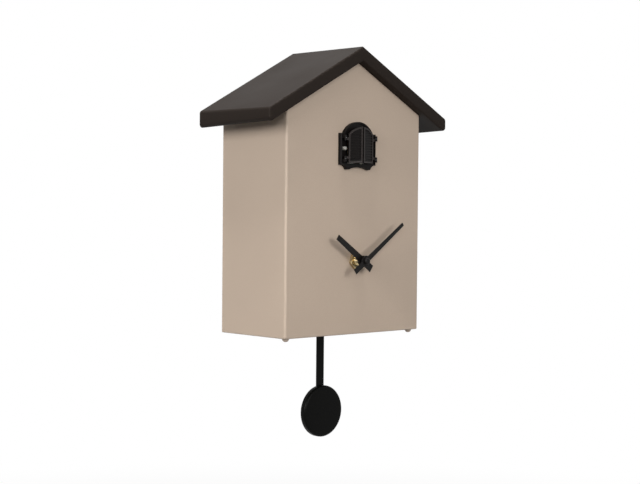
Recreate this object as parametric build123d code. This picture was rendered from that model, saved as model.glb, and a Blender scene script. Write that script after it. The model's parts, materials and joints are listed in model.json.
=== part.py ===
from build123d import *
import math
import os

# Wall-hung cuckoo clock shaped like a small house, in millimetres and degrees.
# Pieces are modelled with y = 0 on the wall, the front towards -Y, and z = 0 under the floor.
# They are written with the origin at the keyhole, on the rear face of the cover.

# House and roof
HOUSE_WIDTH = 162.2
HOUSE_DEPTH = 83.0
HOUSE_WALL = 2.5
HOUSE_EDGE_RADIUS = 2.0
HOUSE_FLOOR_RADIUS = 1.0
RIDGE_HEIGHT = 250.0
ROOF_WIDTH = 214.8
ROOF_PITCH = 28.4
ROOF_WALL = 2.5
ROOF_OVERHANG = 8.5
ROOF_EAVE_RADIUS = 3.0
ROOF_FRONT_RADIUS = 1.5
FASCIA_HEIGHT = 12.5
FASCIA_REAR_HEIGHT = 15.8
FOOT_RADIUS = 3.0
FOOT_INSET = 6.2

# Fits between pieces
FIT = 0.3
SLIDE = 0.15
RUNNING = 0.05

# Rear cover and keyhole
REAR_RECESS = 6.5
COVER_THICKNESS = 2.5
KEYHOLE_HEIGHT = 190.0
KEYHOLE_RADIUS = 4.5
KEYHOLE_SLOT_RADIUS = 2.3
KEYHOLE_SLOT_RISE = 9.0

# Screws: one pan head size inside, one countersunk size in the rear cover
SCREW_RADIUS = 1.1
SCREW_LENGTH = 7.0
SCREW_HEAD_RADIUS = 2.1
SCREW_HEAD_HEIGHT = 1.4
SCREW_BOSS_RADIUS = 3.2
COVER_SCREW_RADIUS = 1.4
COVER_SCREW_LENGTH = 10.0
COVER_SCREW_HEAD_RADIUS = 2.8
COVER_SCREW_HEAD_HEIGHT = 1.5
COVER_BOSS = 10.0
COVER_BOSS_LENGTH = 12.0
COVER_BOSS_LOW = 9.0
COVER_BOSS_HIGH = 180.0
ROOF_TAB_HEIGHT = 194.0
ROOF_TAB_THICKNESS = 2.5
ROOF_TAB_SIZE = 9.0
ROOF_TAB_SETBACKS = (26.0, 66.0)

# Bird window: heights above its foot, half widths from the middle of the house
WINDOW_HEIGHT = 143.5
FRAME_DEPTH = 3.6
FRAME_RECESS = 1.5
RIM_WIDTH = 1.3
EAR_HALF_WIDTH = 21.4
EAR_EDGE_RADIUS = 1.0
EAR_RISE = 3.9
EAR_HEIGHT = 27.3
ARCH_HALF_WIDTH = 17.4
ARCH_RISE = 10.2
WINDOW_FOOT_OUTER = 14.2
WINDOW_FOOT_INNER = 11.6
SCALLOP_RISE = 2.2
OPENING_HALF_WIDTH = 12.4
OPENING_RISE = 5.1
SLEEVE_WALL = 1.8
SENSOR_RADIUS = 1.7
SENSOR_OFFSET = 17.6
SENSOR_RISE = 18.0
SENSOR_STANDOUT = 2.6
FRAME_SCREW_RISE = 9.5
FRAME_SCREW_LENGTH = 6.0

# Doors, hinged on pins in lugs of the frame and standing ajar
HINGE_HALF_SPACING = 18.6
HINGE_STANDOFF = 2.6
HINGE_PIN_RADIUS = 0.6
KNUCKLE_RADIUS = 1.2
KNUCKLE_HEIGHT = 2.2
KNUCKLE_RISE = 3.2
KNUCKLE_DROP = 3.3
DOOR_RISE = 5.7
DOOR_SIDE_HEIGHT = 24.8
DOOR_ARCH_RISE = 6.3
DOOR_THICKNESS = 1.2
DOOR_BORDER_WIDTH = 1.5
DOOR_BORDER_HEIGHT = 0.7
DOOR_SEAM = 1.0
DOOR_HINGE_ROOM = 3.8
DOOR_LAP = 1.7
DOOR_AJAR = 11.0
SLAT_PITCH = 2.3
SLAT_HEIGHT = 1.5

# Bird and its carriage
CARRIAGE_TRAVEL = 34.0
CARRIAGE_THICKNESS = 2.8
CARRIAGE_HALF_WIDTH = 9.0
CARRIAGE_SETBACK = 5.0
CARRIAGE_CLEARANCE = 0.5
CARRIAGE_NOSE_TAPER = 2.5
CARRIAGE_NOSE_LENGTH = 5.0
RAIL_WALL = 2.0
RAIL_LIP = 1.2
RAIL_OVERLAP = 1.4
BIRD_POST_RADIUS = 2.0
BIRD_POST_HEIGHT = 4.0
BIRD_LENGTH = 25.0
BIRD_CHEST_RADIUS = 7.4
BIRD_RUMP_RADIUS = 2.8
BIRD_HEAD_RADIUS = 5.4
BIRD_HEAD_LEAD = 3.5
BIRD_HEAD_RISE = 6.4
BIRD_TAIL_LENGTH = 9.0
BIRD_TAIL_WIDTH = 5.0
BIRD_TAIL_THICKNESS = 1.6
BIRD_TAIL_TILT = 20.0
BEAK_LENGTH = 6.0
BEAK_RADIUS = 1.9
BEAK_TIP_RADIUS = 0.3
WING_THICKNESS = 0.8
WING_LENGTH = 16.0
WING_HEIGHT = 8.0
WING_TILT = 12.0

# Gearbox under the bird chassis
CHASSIS_WALL = 2.0
CHASSIS_FLOOR = 2.2
CHASSIS_HALF_WIDTH = 22.0
CHASSIS_SIDE_HEIGHT = 27.0
CHASSIS_FLANGE = 2.0
CHASSIS_FLANGE_MARGIN = 2.5
RACK_MODULE = 0.8
RACK_PINION_TEETH = 12
RACK_LEAD = 4.0
RACK_DIRECTION = 180.0
DRIVE_MODULE = 0.6
DRIVE_TEETH = 36
MOTOR_PINION_TEETH = 12
DRIVE_GEAR_THICKNESS = 3.0
DRIVE_SHAFT_RADIUS = 1.5
GEAR_GAP = 0.5
GEAR_PLATE_THICKNESS = 2.0
GEAR_PLATE_MARGIN = 5.5
MOTOR_RADIUS = 10.0
MOTOR_LENGTH = 25.0
MOTOR_BOSS_RADIUS = 3.0
MOTOR_SHAFT_RADIUS = 1.0
MOTOR_SHAFT_DEPTH = 3.0

# Gear teeth
PRESSURE_ANGLE = 20.0
ADDENDUM = 0.7
DEDENDUM = 1.05
BACKLASH = 0.16
CENTRE_PLAY = 0.06
SAME_POINT = 1e-6

# Time movement behind the dial axis
DIAL_HEIGHT = 64.2
MOVEMENT_SIZE = 56.0
MOVEMENT_WALL = 1.5
GEAR_THICKNESS = 1.4
LAYER_GAP = 0.5
LAYER_COUNT = 4
MOTION_MODULE = 0.5
CANNON_TEETH = 12
MOTION_TEETH = 36
MOTION_PINION_TEETH = 12
HOUR_TEETH = 48
TRAIN_MODULE = 0.4
CENTRE_TEETH = 48
THIRD_PINION_TEETH = 12
THIRD_TEETH = 48
STEPPER_PINION_TEETH = 12
MOTION_ANGLE = 225.0
THIRD_ANGLE = 45.0
STEPPER_ANGLE = 0.0
ARBOR_RADIUS = 0.8
PIVOT_DEPTH = 0.8
STEPPER_SIZE = 13.0
STEPPER_DEPTH = 5.5
STEPPER_SHAFT_RADIUS = 0.5
STEPPER_SHAFT_DEPTH = 2.7
BOARD_THICKNESS = 1.2
MOVEMENT_BOARD_WIDTH = 20.0
MOVEMENT_BOARD_HEIGHT = 12.0
SETTING_SHAFT_RADIUS = 1.5
SETTING_KNOB_RADIUS = 6.5
SETTING_KNOB_LENGTH = 4.0
SETTING_KNOB_SEAT = 2.0

# Bush, nut and hands
BUSH_RADIUS = 4.0
BUSH_FLANGE_RADIUS = 6.0
BUSH_FLANGE = 1.0
BUSH_STANDOUT = 6.4
WASHER_RADIUS = 5.4
WASHER_THICKNESS = 0.3
NUT_ACROSS_FLATS = 13.0
NUT_THICKNESS = 3.0
NUT_TURN = 13.0
NUT_CHAMFER = 0.7
HOUR_PIPE_RADIUS = 2.5
MINUTE_ARBOR_RADIUS = 1.6
HAND_THICKNESS = 0.8
HAND_HUB_RADIUS = 4.85
HOUR_STANDOFF = 9.8
HOUR_LENGTH = 37.3
HOUR_TAIL = 12.5
HOUR_TIP_WIDTH = 4.8
HOUR_TAIL_WIDTH = 6.7
MINUTE_STANDOFF = 13.4
MINUTE_LENGTH = 56.0
MINUTE_TAIL = 15.7
MINUTE_TIP_WIDTH = 3.0
MINUTE_TAIL_WIDTH = 5.0
CAP_RADIUS = 2.9
CAP_HEIGHT = 2.4
CAP_EDGE_RADIUS = 1.2
CAP_SEAT = 1.2
SHOWN_HOUR = 10
SHOWN_MINUTE = 9.2

# Pendulum and its bracket
PENDULUM_SETBACK = 39.7
PIVOT_HEIGHT = 36.0
SWING = 7.0
ROD_WIDTH = 8.0
ROD_THICKNESS = 1.8
ROD_SEAT = 10.0
ROD_PAST_BOB_CENTRE = 7.6
BOB_DROP = 72.0
BOB_RADIUS = 23.0
BOB_THICKNESS = 6.8
BOB_FRONT_RADIUS = 2.2
BOB_REAR_RADIUS = 1.2
SLOT_CLEARANCE = 1.6
FLOOR_BOSS_HEIGHT = 6.0
FLOOR_BOSS_SPACING = 48.0
BRACKET_WIDTH = 28.0
BRACKET_SPAN = 16.0
BRACKET_PLATE = 1.6
BRACKET_BASE_LENGTH = 60.0
BRACKET_HEADROOM = 8.0
PENDULUM_PIN_RADIUS = 1.0
HANGER_WIDTH = 12.0
HANGER_THICKNESS = 4.0
HANGER_DROP = 22.0
HANGER_HUB_RADIUS = 3.2
HOOK_PIN_RADIUS = 1.2
MAGNET_RADIUS = 4.0
MAGNET_THICKNESS = 1.6
MAGNET_DROP = 9.5
COIL_RADIUS = 5.5
COIL_BORE_RADIUS = 2.0
COIL_AIR_GAP = 0.8

# Batteries in the rear cover
CELL_COUNT = 3
CELL_RADIUS = 7.25
CELL_LENGTH = 50.5
CELL_NUB_RADIUS = 2.75
CELL_NUB_LENGTH = 1.0
CELL_SPACING = 15.5
CONTACT_THICKNESS = 1.0
CONTACT_WIDTH = 9.0
TRAY_WALL = 1.5
TRAY_LIP = 1.2
TRAY_OFFSET = 45.0
TRAY_HEIGHT = 56.0
TRAY_HEADROOM = 0.6
GRIP_WIDTH = 15.0
GRIP_HEIGHT = 3.6
GRIP_INSET = 3.6
GRIP_DEPTH = 1.2

# Speaker on the inside of the rear cover
SPEAKER_OFFSET = -42.0
SPEAKER_HEIGHT = 118.0
SPEAKER_RADIUS = 20.0
SPEAKER_FLANGE = 2.5
SPEAKER_DEPTH = 9.0
SPEAKER_WALL = 1.0
SPEAKER_THROAT_RADIUS = 8.0
SPEAKER_MAGNET_RADIUS = 9.0
SPEAKER_MAGNET_DEPTH = 4.0
GRILLE_HOLE_RADIUS = 1.3
GRILLE_PITCH = 4.4
GRILLE_RINGS = 3
GRILLE_FIRST_RING = 6

# Main board and its controls
BOARD_OFFSET = -42.0
BOARD_HEIGHT = 58.0
BOARD_WIDTH = 50.0
BOARD_TALL = 40.0
BOARD_STANDOFF = 9.0
BOARD_POST_INSET = 4.5
SWITCH_OFFSET = -54.0
SWITCH_HEIGHT = 68.0
SWITCH_WIDTH = 13.0
SWITCH_TALL = 6.0
SWITCH_DEPTH = 5.0
SLIDER_WIDTH = 3.0
SLIDER_TALL = 3.0
SLIDER_FOOT_WIDTH = 5.0
SLIDER_FOOT_DEPTH = 1.5
SLIDER_TRAVEL = 2.0
CONTROL_STANDOUT = 2.0
VOLUME_OFFSET = -30.0
VOLUME_HEIGHT = 66.0
POT_RADIUS = 7.0
POT_DEPTH = 6.0
POT_FLOOR = 3.0
VOLUME_STEM_RADIUS = 2.0
VOLUME_KNOB_RADIUS = 6.0
VOLUME_KNOB_LENGTH = 4.0
BUTTON_OFFSET = -54.0
BUTTON_HEIGHT = 48.0
BUTTON_RADIUS = 3.0
BUTTON_TRAVEL = 1.0
BUTTON_STEM_RADIUS = 1.5
BUTTON_CAP_LENGTH = 5.0
TACT_SIZE = 6.0
TACT_DEPTH = 4.5
TACT_FLOOR = 1.1

# Leads between the main board and what it feeds
LEAD_RADIUS = 0.65
LEAD_BEND = 4.0
LEAD_REACH = 10.0
LEAD_INSET = 5.0

# Places that follow from the sizes above
TAN_PITCH = math.tan(math.radians(ROOF_PITCH))
COS_PITCH = math.cos(math.radians(ROOF_PITCH))
HOUSE_FRONT = -HOUSE_DEPTH
HOUSE_INNER = HOUSE_FRONT + HOUSE_WALL
ROOF_FRONT = HOUSE_FRONT - ROOF_OVERHANG
COVER_REAR = -REAR_RECESS
COVER_FRONT = COVER_REAR - COVER_THICKNESS
FRAME_FRONT = HOUSE_FRONT - FRAME_DEPTH
FRAME_FLOOR = FRAME_FRONT + FRAME_RECESS
EAR_BOTTOM = WINDOW_HEIGHT + EAR_RISE
EAR_TOP = EAR_BOTTOM + EAR_HEIGHT
DOOR_BOTTOM = WINDOW_HEIGHT + DOOR_RISE
DOOR_SHOULDER = DOOR_BOTTOM + DOOR_SIDE_HEIGHT
DOOR_TOP = DOOR_SHOULDER + DOOR_ARCH_RISE
HINGE_Y = FRAME_FRONT - HINGE_STANDOFF
HINGE_LOW = DOOR_BOTTOM + KNUCKLE_RISE
HINGE_HIGH = DOOR_SHOULDER - KNUCKLE_DROP
OPENING_BOTTOM = WINDOW_HEIGHT + OPENING_RISE
SENSOR_HEIGHT = WINDOW_HEIGHT + SENSOR_RISE
CARRIAGE_BOTTOM = OPENING_BOTTOM + CARRIAGE_CLEARANCE
CARRIAGE_TOP = CARRIAGE_BOTTOM + CARRIAGE_THICKNESS
CARRIAGE_FRONT = HOUSE_FRONT + CARRIAGE_SETBACK
CHASSIS_FLOOR_TOP = CARRIAGE_BOTTOM - FIT
CHASSIS_FLOOR_BOTTOM = CHASSIS_FLOOR_TOP - CHASSIS_FLOOR
FLANGE_REAR = HOUSE_INNER + CHASSIS_FLANGE
DRIVE_RADIUS = DRIVE_TEETH * DRIVE_MODULE / 2
DRIVE_X = CARRIAGE_HALF_WIDTH + RACK_PINION_TEETH * RACK_MODULE / 2 + CENTRE_PLAY
DRIVE_Y = FLANGE_REAR + DRIVE_RADIUS + ADDENDUM * DRIVE_MODULE + GEAR_GAP
MOTOR_DISTANCE = (DRIVE_TEETH + MOTOR_PINION_TEETH) * DRIVE_MODULE / 2 + CENTRE_PLAY
MOTOR_Y = DRIVE_Y + MOTOR_DISTANCE
RACK_FRONT = DRIVE_Y - RACK_LEAD
RACK_REAR = DRIVE_Y + CARRIAGE_TRAVEL + RACK_LEAD
CARRIAGE_REAR = RACK_REAR + RACK_MODULE
CHASSIS_REAR = CARRIAGE_REAR + GEAR_GAP + CHASSIS_WALL
DRIVE_TOP = CHASSIS_FLOOR_BOTTOM - GEAR_GAP
DRIVE_BOTTOM = DRIVE_TOP - DRIVE_GEAR_THICKNESS
GEAR_PLATE_TOP = DRIVE_BOTTOM - GEAR_GAP
GEAR_PLATE_BOTTOM = GEAR_PLATE_TOP - GEAR_PLATE_THICKNESS
PENDULUM_Y = -PENDULUM_SETBACK
BRACKET_BASE = HOUSE_WALL + FLOOR_BOSS_HEIGHT
HOUR_MODULE = MOTION_MODULE * (CANNON_TEETH + MOTION_TEETH) / (MOTION_PINION_TEETH + HOUR_TEETH)
MINUTE_ANGLE = SHOWN_MINUTE * 6
HOUR_ANGLE = SHOWN_HOUR * 30 + SHOWN_MINUTE / 2
LAYER_START = HOUSE_INNER + MOVEMENT_WALL + BUSH_FLANGE + LAYER_GAP
MOVEMENT_INNER_REAR = LAYER_START + LAYER_COUNT * (GEAR_THICKNESS + LAYER_GAP) + STEPPER_DEPTH
MOVEMENT_REAR = MOVEMENT_INNER_REAR + MOVEMENT_WALL
TRAY_INNER_WIDTH = CELL_COUNT * CELL_SPACING
TRAY_INNER_TALL = CELL_LENGTH + 2 * CONTACT_THICKNESS
TRAY_FLOOR = COVER_FRONT - 2 * CELL_RADIUS - TRAY_HEADROOM
BOARD_REAR = COVER_FRONT - BOARD_STANDOFF


# Helpers: blocks, rods and outlines pushed along one axis
def block(x0, x1, y0, y1, z0, z1):
    centre = Pos((x0 + x1) / 2, (y0 + y1) / 2, (z0 + z1) / 2)
    return centre * Box(abs(x1 - x0), abs(y1 - y0), abs(z1 - z0))


def rod_y(x, z, radius, y0, y1):
    return Pos(x, (y0 + y1) / 2, z) * Rot(90, 0, 0) * Cylinder(radius, abs(y1 - y0))


def rod_z(x, y, radius, z0, z1):
    return Pos(x, y, (z0 + z1) / 2) * Cylinder(radius, abs(z1 - z0))


def slab_y(outline, y_rear, y_front):
    """An outline drawn in (x, z), pushed from y_rear forward to y_front."""
    return Pos(0, y_rear, 0) * extrude(Plane.XZ * outline, amount=y_rear - y_front, dir=(0, -1, 0))


def slab_x(outline, x0, x1):
    """An outline drawn in (y, z), pushed from x0 to x1."""
    return Pos(x0, 0, 0) * extrude(Plane.YZ * outline, amount=x1 - x0, dir=(1, 0, 0))


def slab_z(outline, z0, z1):
    """An outline drawn in (x, y), pushed from z0 to z1."""
    return Pos(0, 0, z0) * extrude(outline, amount=z1 - z0, dir=(0, 0, 1))


def corners(*points):
    return make_face(Polyline(*points, close=True))


def pan_screw(length):
    """Pan head screw along Z, head above z = 0 and shank below."""
    head = Pos(0, 0, SCREW_HEAD_HEIGHT / 2) * Cylinder(SCREW_HEAD_RADIUS, SCREW_HEAD_HEIGHT)
    shank = Pos(0, 0, -length / 2) * Cylinder(SCREW_RADIUS, length)
    return head + shank


# Gears: involute flanks with a little backlash
def gear_face(teeth, module, phase=0.0):
    """Gear outline about the origin, with a tooth centred on the phase angle in degrees."""
    pitch = teeth * module / 2
    base = pitch * math.cos(math.radians(PRESSURE_ANGLE))
    tip = pitch + ADDENDUM * module
    root = pitch - DEDENDUM * module
    half_pitch = (math.pi * module / 2 - BACKLASH * module) / (2 * pitch)

    def involute(radius):
        angle = math.acos(min(1.0, base / radius))
        return math.tan(angle) - angle

    def half_tooth(radius):
        return half_pitch + involute(pitch) - involute(max(radius, base))

    radii = (root, max(root, base), pitch, tip)
    points = []
    for tooth in range(teeth):
        middle = math.radians(phase) + 2 * math.pi * tooth / teeth
        rising = [(radius, middle - half_tooth(radius)) for radius in radii]
        falling = [(radius, middle + half_tooth(radius)) for radius in reversed(radii)]
        points += [(r * math.cos(a), r * math.sin(a)) for r, a in rising + falling]
    unique = [p for i, p in enumerate(points) if math.dist(p, points[i - 1]) > SAME_POINT]
    return corners(*unique)


def mesh_phase(direction, phase, teeth, other_teeth):
    """Phase of the gear that lies in a direction, so that it meshes with the first one."""
    turned = (direction - phase) / (360 / teeth)
    return direction + 180 - (360 / other_teeth) * (0.5 - turned)


def gear_y(x, z, teeth, module, phase, y_front, thickness):
    return Pos(x, 0, z) * slab_y(gear_face(teeth, module, phase), y_front + thickness, y_front)


def layer(number):
    """Front of one layer of wheels in the movement."""
    return LAYER_START + number * (GEAR_THICKNESS + LAYER_GAP)


def around_dial(angle, distance, x=0.0, z=DIAL_HEIGHT):
    return (x + distance * math.cos(math.radians(angle)), z + distance * math.sin(math.radians(angle)))


MOTION_DISTANCE = (CANNON_TEETH + MOTION_TEETH) * MOTION_MODULE / 2 + CENTRE_PLAY
THIRD_DISTANCE = (CENTRE_TEETH + THIRD_PINION_TEETH) * TRAIN_MODULE / 2 + CENTRE_PLAY
STEPPER_DISTANCE = (THIRD_TEETH + STEPPER_PINION_TEETH) * TRAIN_MODULE / 2 + CENTRE_PLAY
MOTION_X, MOTION_Z = around_dial(MOTION_ANGLE, MOTION_DISTANCE)
THIRD_X, THIRD_Z = around_dial(THIRD_ANGLE, THIRD_DISTANCE)
STEPPER_X, STEPPER_Z = around_dial(STEPPER_ANGLE, STEPPER_DISTANCE, THIRD_X, THIRD_Z)


# Roof: closed underneath all round the house, with hollow eaves
def roof_top(x):
    return RIDGE_HEIGHT - abs(x) * TAN_PITCH


def soffit(x):
    return roof_top(x) - ROOF_WALL / COS_PITCH


def roof_tab_x():
    return HOUSE_WIDTH / 2 - HOUSE_WALL - ROOF_TAB_SIZE / 2


def roof_screw_places():
    return [(side * roof_tab_x(), -setback) for side in (-1, 1) for setback in ROOF_TAB_SETBACKS]


def chevron(height):
    """Roof outline from the front, with its underside this far below the slopes."""
    half = ROOF_WIDTH / 2
    eave = roof_top(half)
    return corners(
        (-half, eave - height), (-half, eave), (0, RIDGE_HEIGHT),
        (half, eave), (half, eave - height), (0, RIDGE_HEIGHT - height))


def eave_hollow(side):
    """Room inside one eave beside the house, open behind."""
    near = HOUSE_WIDTH / 2 + FIT + ROOF_WALL
    far = ROOF_WIDTH / 2 - ROOF_EAVE_RADIUS
    rise = FASCIA_HEIGHT - ROOF_WALL / COS_PITCH
    outline = corners(
        (side * near, soffit(near)), (side * far, soffit(far)),
        (side * far, roof_top(far) - rise), (side * near, roof_top(near) - rise))
    return slab_y(outline, 0, ROOF_FRONT + ROOF_EAVE_RADIUS)


def roof_shell():
    half = ROOF_WIDTH / 2
    rear = Plane.XZ * chevron(FASCIA_REAR_HEIGHT)
    front = Pos(0, ROOF_FRONT, 0) * (Plane.XZ * chevron(FASCIA_HEIGHT))
    roof = loft([rear, front], ruled=True)
    eaves = [e for e in roof.edges() if abs(e.center().X) > half - SAME_POINT and e.length > -ROOF_FRONT / 2]
    roof = fillet(eaves, ROOF_EAVE_RADIUS)
    roof = fillet(roof.faces().sort_by(Axis.Y)[0].outer_wire().edges(), ROOF_FRONT_RADIUS)
    roof -= slab_y(gable(HOUSE_WIDTH / 2 + FIT, 0, soffit), 0, HOUSE_FRONT - FIT)
    for side in (-1, 1):
        roof -= eave_hollow(side)
    below = slab_y(corners(
        (-half, 0), (half, 0), (half, soffit(half) + ROOF_WALL / 2),
        (0, soffit(0) + ROOF_WALL / 2), (-half, soffit(half) + ROOF_WALL / 2)), 0, ROOF_FRONT)
    for x, y in roof_screw_places():
        roof += rod_z(x, y, SCREW_BOSS_RADIUS, ROOF_TAB_HEIGHT, RIDGE_HEIGHT) & below
    for x, y in roof_screw_places():
        roof -= rod_z(x, y, SCREW_RADIUS, ROOF_TAB_HEIGHT, ROOF_TAB_HEIGHT + SCREW_LENGTH)
    return roof


# House: front gable, sides and floor in one moulding, open behind and above
def gable(half_width, floor, top):
    """House outline at a half width, with its top following the roof line of the top function."""
    return corners(
        (-half_width, floor), (half_width, floor), (half_width, top(half_width)),
        (0, top(0)), (-half_width, top(half_width)))


def cover_boss_places():
    x = HOUSE_WIDTH / 2 - HOUSE_WALL - COVER_BOSS / 2
    return [(side * x, z) for side in (-1, 1) for z in (COVER_BOSS_LOW, COVER_BOSS_HIGH)]


def floor_boss_places():
    return [(side * FLOOR_BOSS_SPACING / 2, PENDULUM_Y) for side in (-1, 1)]


def frame_screw_places():
    return [(side * SENSOR_OFFSET, WINDOW_HEIGHT + FRAME_SCREW_RISE) for side in (-1, 1)]


def house_body():
    half = HOUSE_WIDTH / 2
    house = slab_y(gable(half, 0, soffit), 0, HOUSE_FRONT)
    house = fillet(house.edges().filter_by(Axis.Z).group_by(Axis.Y)[0], HOUSE_EDGE_RADIUS)
    front_low = house.edges().filter_by(Axis.X).group_by(Axis.Z)[0].group_by(Axis.Y)[0]
    house = fillet(front_low, HOUSE_FLOOR_RADIUS)
    inside = gable(half - HOUSE_WALL, HOUSE_WALL, roof_top)
    house -= slab_y(inside, HOUSE_WALL, HOUSE_INNER)
    for x, z in cover_boss_places():
        boss = block(x - COVER_BOSS / 2, x + COVER_BOSS / 2, COVER_FRONT - COVER_BOSS_LENGTH, COVER_FRONT,
                     max(HOUSE_WALL, z - COVER_BOSS / 2), z + COVER_BOSS / 2)
        house += boss
    for x, z in cover_boss_places():
        house -= rod_y(x, z, COVER_SCREW_RADIUS, COVER_REAR - COVER_SCREW_LENGTH, COVER_FRONT)
    tab = ROOF_TAB_SIZE / 2
    for x, y in roof_screw_places():
        house += block(x - tab, x + tab, y - tab, y + tab,
                       ROOF_TAB_HEIGHT - ROOF_TAB_THICKNESS, ROOF_TAB_HEIGHT)
    for x, y in roof_screw_places():
        house -= rod_z(x, y, SCREW_RADIUS + SLIDE, ROOF_TAB_HEIGHT - ROOF_TAB_THICKNESS, ROOF_TAB_HEIGHT)
    for x, y in floor_boss_places():
        house += rod_z(x, y, SCREW_BOSS_RADIUS, HOUSE_WALL, BRACKET_BASE)
    for x, y in floor_boss_places():
        house -= rod_z(x, y, SCREW_RADIUS, BRACKET_BASE + BRACKET_PLATE - SCREW_LENGTH, BRACKET_BASE)
    house -= slab_y(opening_face(SLEEVE_WALL + FIT), HOUSE_INNER, HOUSE_FRONT)
    house -= rod_y(-SENSOR_OFFSET, SENSOR_HEIGHT, SENSOR_RADIUS + FIT, HOUSE_FRONT, HOUSE_INNER)
    for x, z in frame_screw_places():
        house -= rod_y(x, z, SCREW_RADIUS + SLIDE, HOUSE_FRONT, HOUSE_INNER)
    house -= rod_y(0, DIAL_HEIGHT, BUSH_RADIUS + SLIDE, HOUSE_FRONT, HOUSE_INNER)
    reach = ROD_WIDTH / 2 + PIVOT_HEIGHT * math.tan(math.radians(SWING)) + SLOT_CLEARANCE
    across = ROD_THICKNESS / 2 + SLOT_CLEARANCE
    house -= block(-reach, reach, PENDULUM_Y - across, PENDULUM_Y + across, 0, HOUSE_WALL)
    return house


def bumper_feet():
    x = HOUSE_WIDTH / 2 - FOOT_INSET
    below = block(-HOUSE_WIDTH, HOUSE_WIDTH, HOUSE_FRONT, 0, -2 * FOOT_RADIUS, 0)
    foot = (Pos(x, HOUSE_FRONT + FOOT_INSET, 0) * Sphere(FOOT_RADIUS)) & below
    return [foot, mirror(foot, about=Plane.YZ)]


# Rear cover with keyhole, grille and control holes
def tray_half_width():
    return TRAY_INNER_WIDTH / 2 + TRAY_LIP


def tray_half_tall():
    return TRAY_INNER_TALL / 2 + TRAY_LIP


def board_post_places():
    x = BOARD_WIDTH / 2 - BOARD_POST_INSET
    z = BOARD_TALL / 2 - BOARD_POST_INSET
    return [(BOARD_OFFSET - x, BOARD_HEIGHT - z), (BOARD_OFFSET + x, BOARD_HEIGHT - z)]


def grille_places():
    places = [(0.0, 0.0)]
    for ring in range(1, GRILLE_RINGS + 1):
        count = GRILLE_FIRST_RING * ring
        places += [(ring * GRILLE_PITCH * math.cos(2 * math.pi * i / count),
                    ring * GRILLE_PITCH * math.sin(2 * math.pi * i / count)) for i in range(count)]
    return places


def rear_cover():
    half = HOUSE_WIDTH / 2 - HOUSE_WALL - FIT
    outline = gable(half, HOUSE_WALL + FIT, lambda x: soffit(x) - FIT / COS_PITCH)
    cover = slab_y(outline, COVER_REAR, COVER_FRONT)
    for x, z in board_post_places():
        cover += rod_y(x, z, SCREW_BOSS_RADIUS, BOARD_REAR, COVER_FRONT)
    for x, z in board_post_places():
        cover -= rod_y(x, z, SCREW_RADIUS, BOARD_REAR, BOARD_REAR - BOARD_THICKNESS + SCREW_LENGTH)
    cover -= rod_y(0, KEYHOLE_HEIGHT, KEYHOLE_RADIUS, COVER_FRONT, COVER_REAR)
    slot = KEYHOLE_SLOT_RADIUS
    slot_top = KEYHOLE_HEIGHT + KEYHOLE_SLOT_RISE
    cover -= block(-slot, slot, COVER_FRONT, COVER_REAR, KEYHOLE_HEIGHT, slot_top)
    cover -= rod_y(0, slot_top, slot, COVER_FRONT, COVER_REAR)
    for x, z in cover_boss_places():
        cover -= Pos(x, COVER_REAR, z) * Rot(-90, 0, 0) * cover_screw()
    wide = tray_half_width()
    tall = tray_half_tall()
    cover -= block(TRAY_OFFSET - wide, TRAY_OFFSET + wide, COVER_FRONT, COVER_REAR,
                   TRAY_HEIGHT - tall, TRAY_HEIGHT + tall)
    for x, z in grille_places():
        cover -= rod_y(SPEAKER_OFFSET + x, SPEAKER_HEIGHT + z, GRILLE_HOLE_RADIUS, COVER_FRONT, COVER_REAR)
    cover -= rod_y(MOTION_X, MOTION_Z, SETTING_SHAFT_RADIUS + RUNNING, COVER_FRONT, COVER_REAR)
    cover -= rod_y(VOLUME_OFFSET, VOLUME_HEIGHT, VOLUME_STEM_RADIUS + FIT, COVER_FRONT, COVER_REAR)
    cover -= rod_y(BUTTON_OFFSET, BUTTON_HEIGHT, BUTTON_RADIUS + SLIDE, COVER_FRONT, COVER_REAR)
    slider_reach = SLIDER_WIDTH / 2 + SLIDER_TRAVEL + FIT
    slider_tall = SLIDER_TALL / 2 + FIT
    cover -= block(SWITCH_OFFSET - slider_reach, SWITCH_OFFSET + slider_reach, COVER_FRONT, COVER_REAR,
                   SWITCH_HEIGHT - slider_tall, SWITCH_HEIGHT + slider_tall)
    return cover


def cover_screw():
    """Countersunk screw along Z, flush at z = 0 and pointing down."""
    cone_height = COVER_SCREW_HEAD_HEIGHT
    head = Pos(0, 0, -cone_height / 2) * Cone(COVER_SCREW_RADIUS, COVER_SCREW_HEAD_RADIUS, cone_height)
    shank = Pos(0, 0, -COVER_SCREW_LENGTH / 2) * Cylinder(COVER_SCREW_RADIUS, COVER_SCREW_LENGTH)
    return head + shank


def cover_screws():
    return [Pos(x, COVER_REAR, z) * Rot(-90, 0, 0) * cover_screw() for x, z in cover_boss_places()]


def pan_head_screws():
    """Every pan head screw inside: roof, window, bracket, gearbox and board."""
    screw = pan_screw(SCREW_LENGTH)
    frame_screw = pan_screw(FRAME_SCREW_LENGTH)
    under_tab = ROOF_TAB_HEIGHT - ROOF_TAB_THICKNESS
    screws = [Pos(x, y, under_tab) * Rot(180, 0, 0) * screw for x, y in roof_screw_places()]
    screws += [Pos(x, FLANGE_REAR, z) * Rot(-90, 0, 0) * frame_screw for x, z in frame_screw_places()]
    screws += [Pos(x, y, BRACKET_BASE + BRACKET_PLATE) * screw for x, y in floor_boss_places()]
    screws += [Pos(x, y, GEAR_PLATE_BOTTOM) * Rot(180, 0, 0) * screw for x, y in pillar_places()]
    screws += [Pos(x, board_front(), z) * Rot(90, 0, 0) * screw for x, z in board_post_places()]
    return screws


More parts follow.
